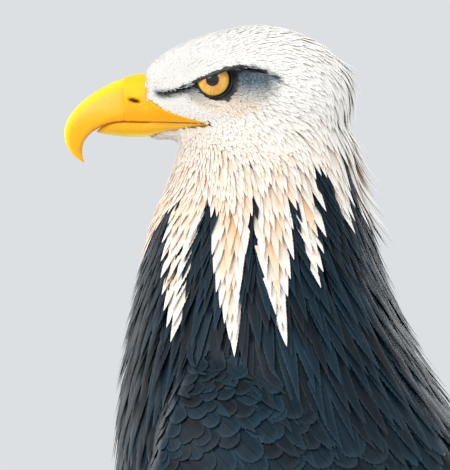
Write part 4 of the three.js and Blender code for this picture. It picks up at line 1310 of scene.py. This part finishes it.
# Roots, tips, lifts and widths run from the lowest feather of a row, the outermost one, to the highest.
def growFlight():
    k, p = (np.linspace(0, 1, own["count"]) for own in flight.values())
    rows = (
        ("secondaries", [0.30 + 0.04 * k, 0.06 + 0.84 * k], [0.60 + 0.10 * k ** 0.8, 0.05 + 0.92 * k],
         2.5 + 4.5 * k, 1 - 0.15 * k),
        ("primaries", [0.46 + 0.02 * p, 0.14 + 0.60 * p], [0.995 - 0.22 * p ** 1.3, 0.45 + 0.38 * p],
         0.4 + 2.0 * p, 0.85 + 0.2 * p))
    for sign, name in ((1, "left"), (-1, "right")):
        for kind, roots, tips, lifts, widths in rows:
            group = flightGroup(flight[kind], np.stack(roots, 1), np.stack(tips, 1), lifts, widths, sign)
            plumage(kind + "_" + name, [group], darkPlumage, ["wing_" + name + "_" + kind],
                    (0.4 / flight[kind]["count"], 0.45))


growFlight()
print("flight feathers set")

# Base and tip are how far the outermost tail feathers stand from the middle there; shorter is by how much they
# are shorter than the middle ones, and bias makes the inner webs the wider ones.
rectrix = {"count": 12, "width": 46.0, "base": 13.0, "tip": 35.0, "shorter": 16.0, "bias": 0.22}


def growTail():
    k = (np.arange(rectrix["count"]) - (rectrix["count"] - 1) / 2) / (rectrix["count"] / 2 - 0.5)
    k = k[np.argsort(-np.abs(k))]
    share = np.linspace(0, 1, 15)[None]
    length = tail["length"] - rectrix["shorter"] * np.abs(k) ** 2
    across = k[:, None] * (rectrix["base"] + (rectrix["tip"] - rectrix["base"]) * share)
    above = (9 - 7 * share) - (3.4 - 1.2 * share) * np.abs(k)[:, None] * 1.4
    line = tailPoint(-18 + (length[:, None] + 18) * share, above, across)
    normals = unit(np.broadcast_to(tailUp, line.shape) + np.stack([0.25 * k, 0 * k, 0 * k], 1)[:, None])
    # the inner web of each feather is the wider one, so the two sides of the tail are made apart
    groups = []
    for sign in (-1, 1):
        mine = np.flatnonzero(np.sign(k) == sign)
        count = len(mine)
        group = vanes(line[mine], normals[mine], length[mine], np.full(count, rectrix["width"]), np.zeros(count),
                      60, camber=0.05, ragged=0.02, bias=-rectrix["bias"] * sign, splitting=0.006, web=0.985)
        group["chance"] *= 0.3
        group["unwrap"][:, 0] = (mine + 0.5) / len(k)
        groups.append(group)
    plumage("rectrices", groups, whitePlumage, ["tail"], (0.4 / len(k), 0.45))


tailUp = tailPoint(0.0, 1.0) - tailPoint(0.0, 0.0)
growTail()

# Over and under are where the rows of coverts begin, along the tail from its root.
tailCoverts = {"length": 64, "width": 24, "over": (-104, -90, -76, -62, -48, -34, -20, -6, 9, 26, 42),
               "under": (-24, -6, 12, 30, 48), "across": 6, "thickest": (44, 19)}


# how far the body stands above or below the middle of the tail, falling gently where the body ends
def coatLevel(distance, side, sign):
    verts, faces = joinParts([lofted(trunk, 90, 72), rumpPart(0)])
    surface = BVHTree.FromPolygons(verts.tolist(), faces)
    steps = np.arange(-118, distance.max() + 8, 8.0)
    rectrices = 10 - 7 * np.clip(steps, 0, 240) / 240
    tall, levels = 120.0, []  # the rays start that far from the tail
    for s in side:
        hits = [surface.ray_cast(tailPoint(d, sign * tall, s).tolist(), (-sign * tailUp).tolist(), tall)
                for d in steps]
        own = np.clip([tall - hit[3] if hit[0] else 0.0 for hit in hits], rectrices,
                      tailCoverts["thickest"][0 if sign > 0 else 1])
        for k in range(1, len(own)):
            own[k] = max(own[k], own[k - 1] - 0.32 * 8)  # the steepest fall, over a step of 8 mm
        levels.append(own)
    return np.stack([np.interp(d, steps, own) for d, own in zip(distance, levels)])


# rows of white coverts over and under the roots of the tail feathers
def growTailCoverts():
    for name, sign in (("over", 1), ("under", -1)):
        starts, places = [], []
        for number, row in enumerate(tailCoverts[name]):
            count = tailCoverts["across"] + number % 2
            starts.append(row + random.uniform(-2.5, 2.5, count))
            places.append(np.linspace(-1, 1, count) * (1.0 if number % 2 else 0.84)
                          + random.uniform(-0.03, 0.03, count))
        starts, places = np.concatenate(starts), np.concatenate(places)
        count = len(starts)
        length = tailCoverts["length"] * random.uniform(0.9, 1.1, count)
        share = np.linspace(0, 1, 10)[None]
        distance = starts[:, None] + length[:, None] * share
        side = places[:, None] * np.interp(distance, [-100, -30, 0, 60, 240], [38, 30, 27, 29, 36])
        level = coatLevel(distance, side[:, 4], sign) + 2.2 - 6 * (1 - share) ** 1.6
        line = tailPoint(distance, sign * level, side)
        tilt = places * 0.7
        normals = tailUp * sign * np.cos(tilt)[:, None] + np.stack([np.sin(tilt), 0 * tilt, 0 * tilt], 1)
        widths = tailCoverts["width"] * random.uniform(0.9, 1.1, count)
        group = vanes(line, flattened(normals[:, None], unit(np.gradient(line, axis=1))), length, widths,
                      np.full(count, 0.15), 24)
        plumage(name + "_tail_coverts", [group], whitePlumage, (), (0.4 / count, 0.45))


growTailCoverts()
print("tail set")

# Skin under the feathers: thin, soft and matt, coloured as the feathers over it, so it takes the same painted
# shade under the brow and the same peach tinge that is partly painted shade.
underCoat = {"white": "#e6ded2", "creamAndShadeTint": "#e3bd92", "browShade": "#5a6467", "dark": "#161f26", "crease": 0.8,
             "surface": {"Roughness": 0.75, "Specular IOR Level": 0.3}}


def underCoatRecipe(add):
    dark, creamAndShade, browShade = add("SeparateXYZ", {0: add("Attribute", {}, "Vector", attribute_name="tone")}, slice(3))
    # creases 0.8 mm apart don't show, so they are drawn three times as coarse
    scale = 1000 / underCoat["crease"] / 3
    cloud = add("TexNoise", {"Vector": add("TexCoord", {}, "Object"), "Scale": scale, "Detail": 4.0})
    shade = add("MapRange", {0: cloud, 3: 0.8, 4: 1.05})
    colour = underCoat["white"]
    # the grey-blue and, along the brow's edge, the dark are painted shade under the brow; the peach is partly
    # painted shade
    for blend, share, other in (
            ("MIX", creamAndShade, underCoat["creamAndShadeTint"]), ("MIX", browShade, underCoat["browShade"]), ("MIX", dark, underCoat["dark"]),
            ("MULTIPLY", 1.0, add("CombineColor", {0: shade, 1: shade, 2: shade}))):
        colour = add("Mix", {0: share, 6: colour, 7: other}, 2, **ofColours, blend_type=blend)
    return {"Base Color": colour, "Normal": add("Bump", {"Height": cloud, "Strength": 0.3, "Distance": 0.0004})}


# The bare rim of the lids and the brow: thin, slate-grey skin, wrinkled finely round the eye. Along the brow's
# underside its slate is partly painted shade.
bareRim = {"slate": "#23282c", "pale": "#4a4a44", "wrinkle": 0.45, "patches": 240,
           "surface": {"Roughness": 0.5, "Specular IOR Level": 0.4}}


def rimRecipe(add):
    place = add("TexCoord", {}, "Object")
    # the wrinkles too are drawn twice as coarse as they are, so that they show
    pebbles = add("TexVoronoi", {"Vector": place, "Scale": 1000 / (2 * bareRim["wrinkle"])})
    cloud = add("TexNoise", {"Vector": place, "Scale": bareRim["patches"], "Detail": 3.0})
    pale = add("MapRange", {0: cloud, 1: 0.45, 2: 0.75})
    return {"Base Color": add("Mix", {0: pale, 6: bareRim["slate"], 7: bareRim["pale"]}, 2, **ofColours),
            "Normal": add("Bump", {"Height": pebbles, "Strength": 0.5, "Distance": 0.0003})}


# Bare skin of the feet: hard, dry yellow scales with darker seams.
footScales = {"yellow": "#f2b416", "deep": "#d98f0c", "seam": "#8a5a14", "scale": 1.5, "patches": 90,
              "surface": {
                  "Roughness": 0.5, "Specular IOR Level": 0.45, "Subsurface Weight": 0.08,
                  "Subsurface Radius": (1.0, 0.5, 0.15), "Subsurface Scale": 0.002}}


def footRecipe(add):
    place = add("TexCoord", {}, "Object")
    spots = {"Vector": place, "Scale": 1000 / footScales["scale"]}
    cells = add("TexVoronoi", spots, feature="DISTANCE_TO_EDGE")
    each = add("SeparateColor", {0: add("TexVoronoi", spots, "Color")})
    cloud = add("TexNoise", {"Vector": place, "Scale": footScales["patches"], "Detail": 4.0})
    amount = add("Math", {0: each, 1: 0.35, 2: cloud}, operation="MULTIPLY_ADD", use_clamp=True)
    colour = footScales["yellow"]
    for share, other in ((add("MapRange", {0: amount, 1: 0.45, 2: 0.9}), "deep"),
                         (add("MapRange", {0: cells, 1: 0.09, 2: 0.0, 4: 0.75}), "seam")):
        colour = add("Mix", {0: share, 6: colour, 7: footScales[other]}, 2, **ofColours)
    raised = add("MapRange", {0: cells, 1: 0.0, 2: 0.22}, **smooth)
    return {"Base Color": colour, "Normal": add("Bump", {"Height": raised, "Strength": 0.6, "Distance": 0.0005})}


def finishSkin():
    mesh = skin.data
    verts = arraysOf(mesh)[0]
    attribute(mesh, "tone", toneAt(verts, verts - [0, 0, 12]))
    centres = millimetresOf(mesh.polygons, "center")
    side, ahead, up = np.abs(centres[:, 0]), centres[:, 1] - eyeAt[1], centres[:, 2]
    under = browHeight(centres[:, 1]) - up
    rim = (np.hypot(ahead, up - eyeAt[2]) < 14.6) & (under > -1.5) & (side > 20)
    # the slate band under the brow's edge is partly bare skin and partly painted shade under the brow
    rim |= (np.abs(under - 1.2) < 3.0) & (side > browEdge(centres[:, 1]) - 9) & (side > 12) & (np.abs(ahead) < 36)
    foot = (up < 96) & (centres[:, 1] > -60)
    mesh.materials.clear()
    nodes = [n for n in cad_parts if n.startswith(("thigh", "tarsus", "toe")) or n.endswith("coverts")]
    finished(skin, newMaterial("bird_skin_downy", underCoat["surface"], underCoatRecipe),
             ["head", "neck", "trunk", *nodes])
    mesh.materials.append(newMaterial("eyelid_skin_wrinkled", bareRim["surface"], rimRecipe))
    mesh.materials.append(newMaterial("foot_skin_scaled", footScales["surface"], footRecipe))
    mesh.polygons.foreach_set("material_index", np.where(foot, 2, np.where(rim, 1, 0)))


finishSkin()
bpy.data.objects.remove(form)
print("skin finished")

# Each light has its size in metres and power in watts, where it stands and what it is aimed at. The floor is a
# board painted matt and pale grey, which takes soft shadows and gives no gloss.
lights = {"key": (1.4, 33, (1500, 1300, 1700), (0, 60, 500)), "fill": (2.0, 10, (1500, -1500, 900), (0, 0, 400)),
          "rim": (1.2, 26, (-1500, -700, 1500), (0, 0, 500)), "far": (1.6, 14, (-1300, 1500, 900), (0, 0, 400))}
studio = {"air": "#e3e6e9", "brightness": 0.94, "floor": {"Base Color": "#c3c5c7", "Roughness": 0.9}, "reach": 5.0,
          "sides": 96}


def setStudio():
    scene = bpy.context.scene
    scene.view_settings.view_transform = "Standard"
    for name, (size, power, place, aim) in lights.items():
        light = bpy.data.lights.new(name, "AREA")
        light.shape, light.size, light.size_y, light.energy = "RECTANGLE", size, size, power
        holder = bpy.data.objects.new(name, light)
        scene.collection.objects.link(holder)
        holder.location = Vector(toMetres(place))
        holder.rotation_euler = (Vector(toMetres(aim)) - holder.location).to_track_quat("-Z", "Y").to_euler()
    scene.world = bpy.data.worlds.new("studio")
    scene.world.use_nodes = True
    setSockets(None, scene.world.node_tree.nodes["Background"], {"Color": studio["air"],
                                                                 "Strength": studio["brightness"]})
    mesh = bpy.data.meshes.new("floor")
    reach, sides = studio["reach"], studio["sides"]
    mesh.from_pydata([(reach * math.cos(a), reach * math.sin(a), 0) for a in onceRound(sides)], [], [range(sides)])
    mesh.materials.append(newMaterial("matt_painted_board", studio["floor"]))
    pieceFrom("floor", mesh)


setStudio()
print("studio set")
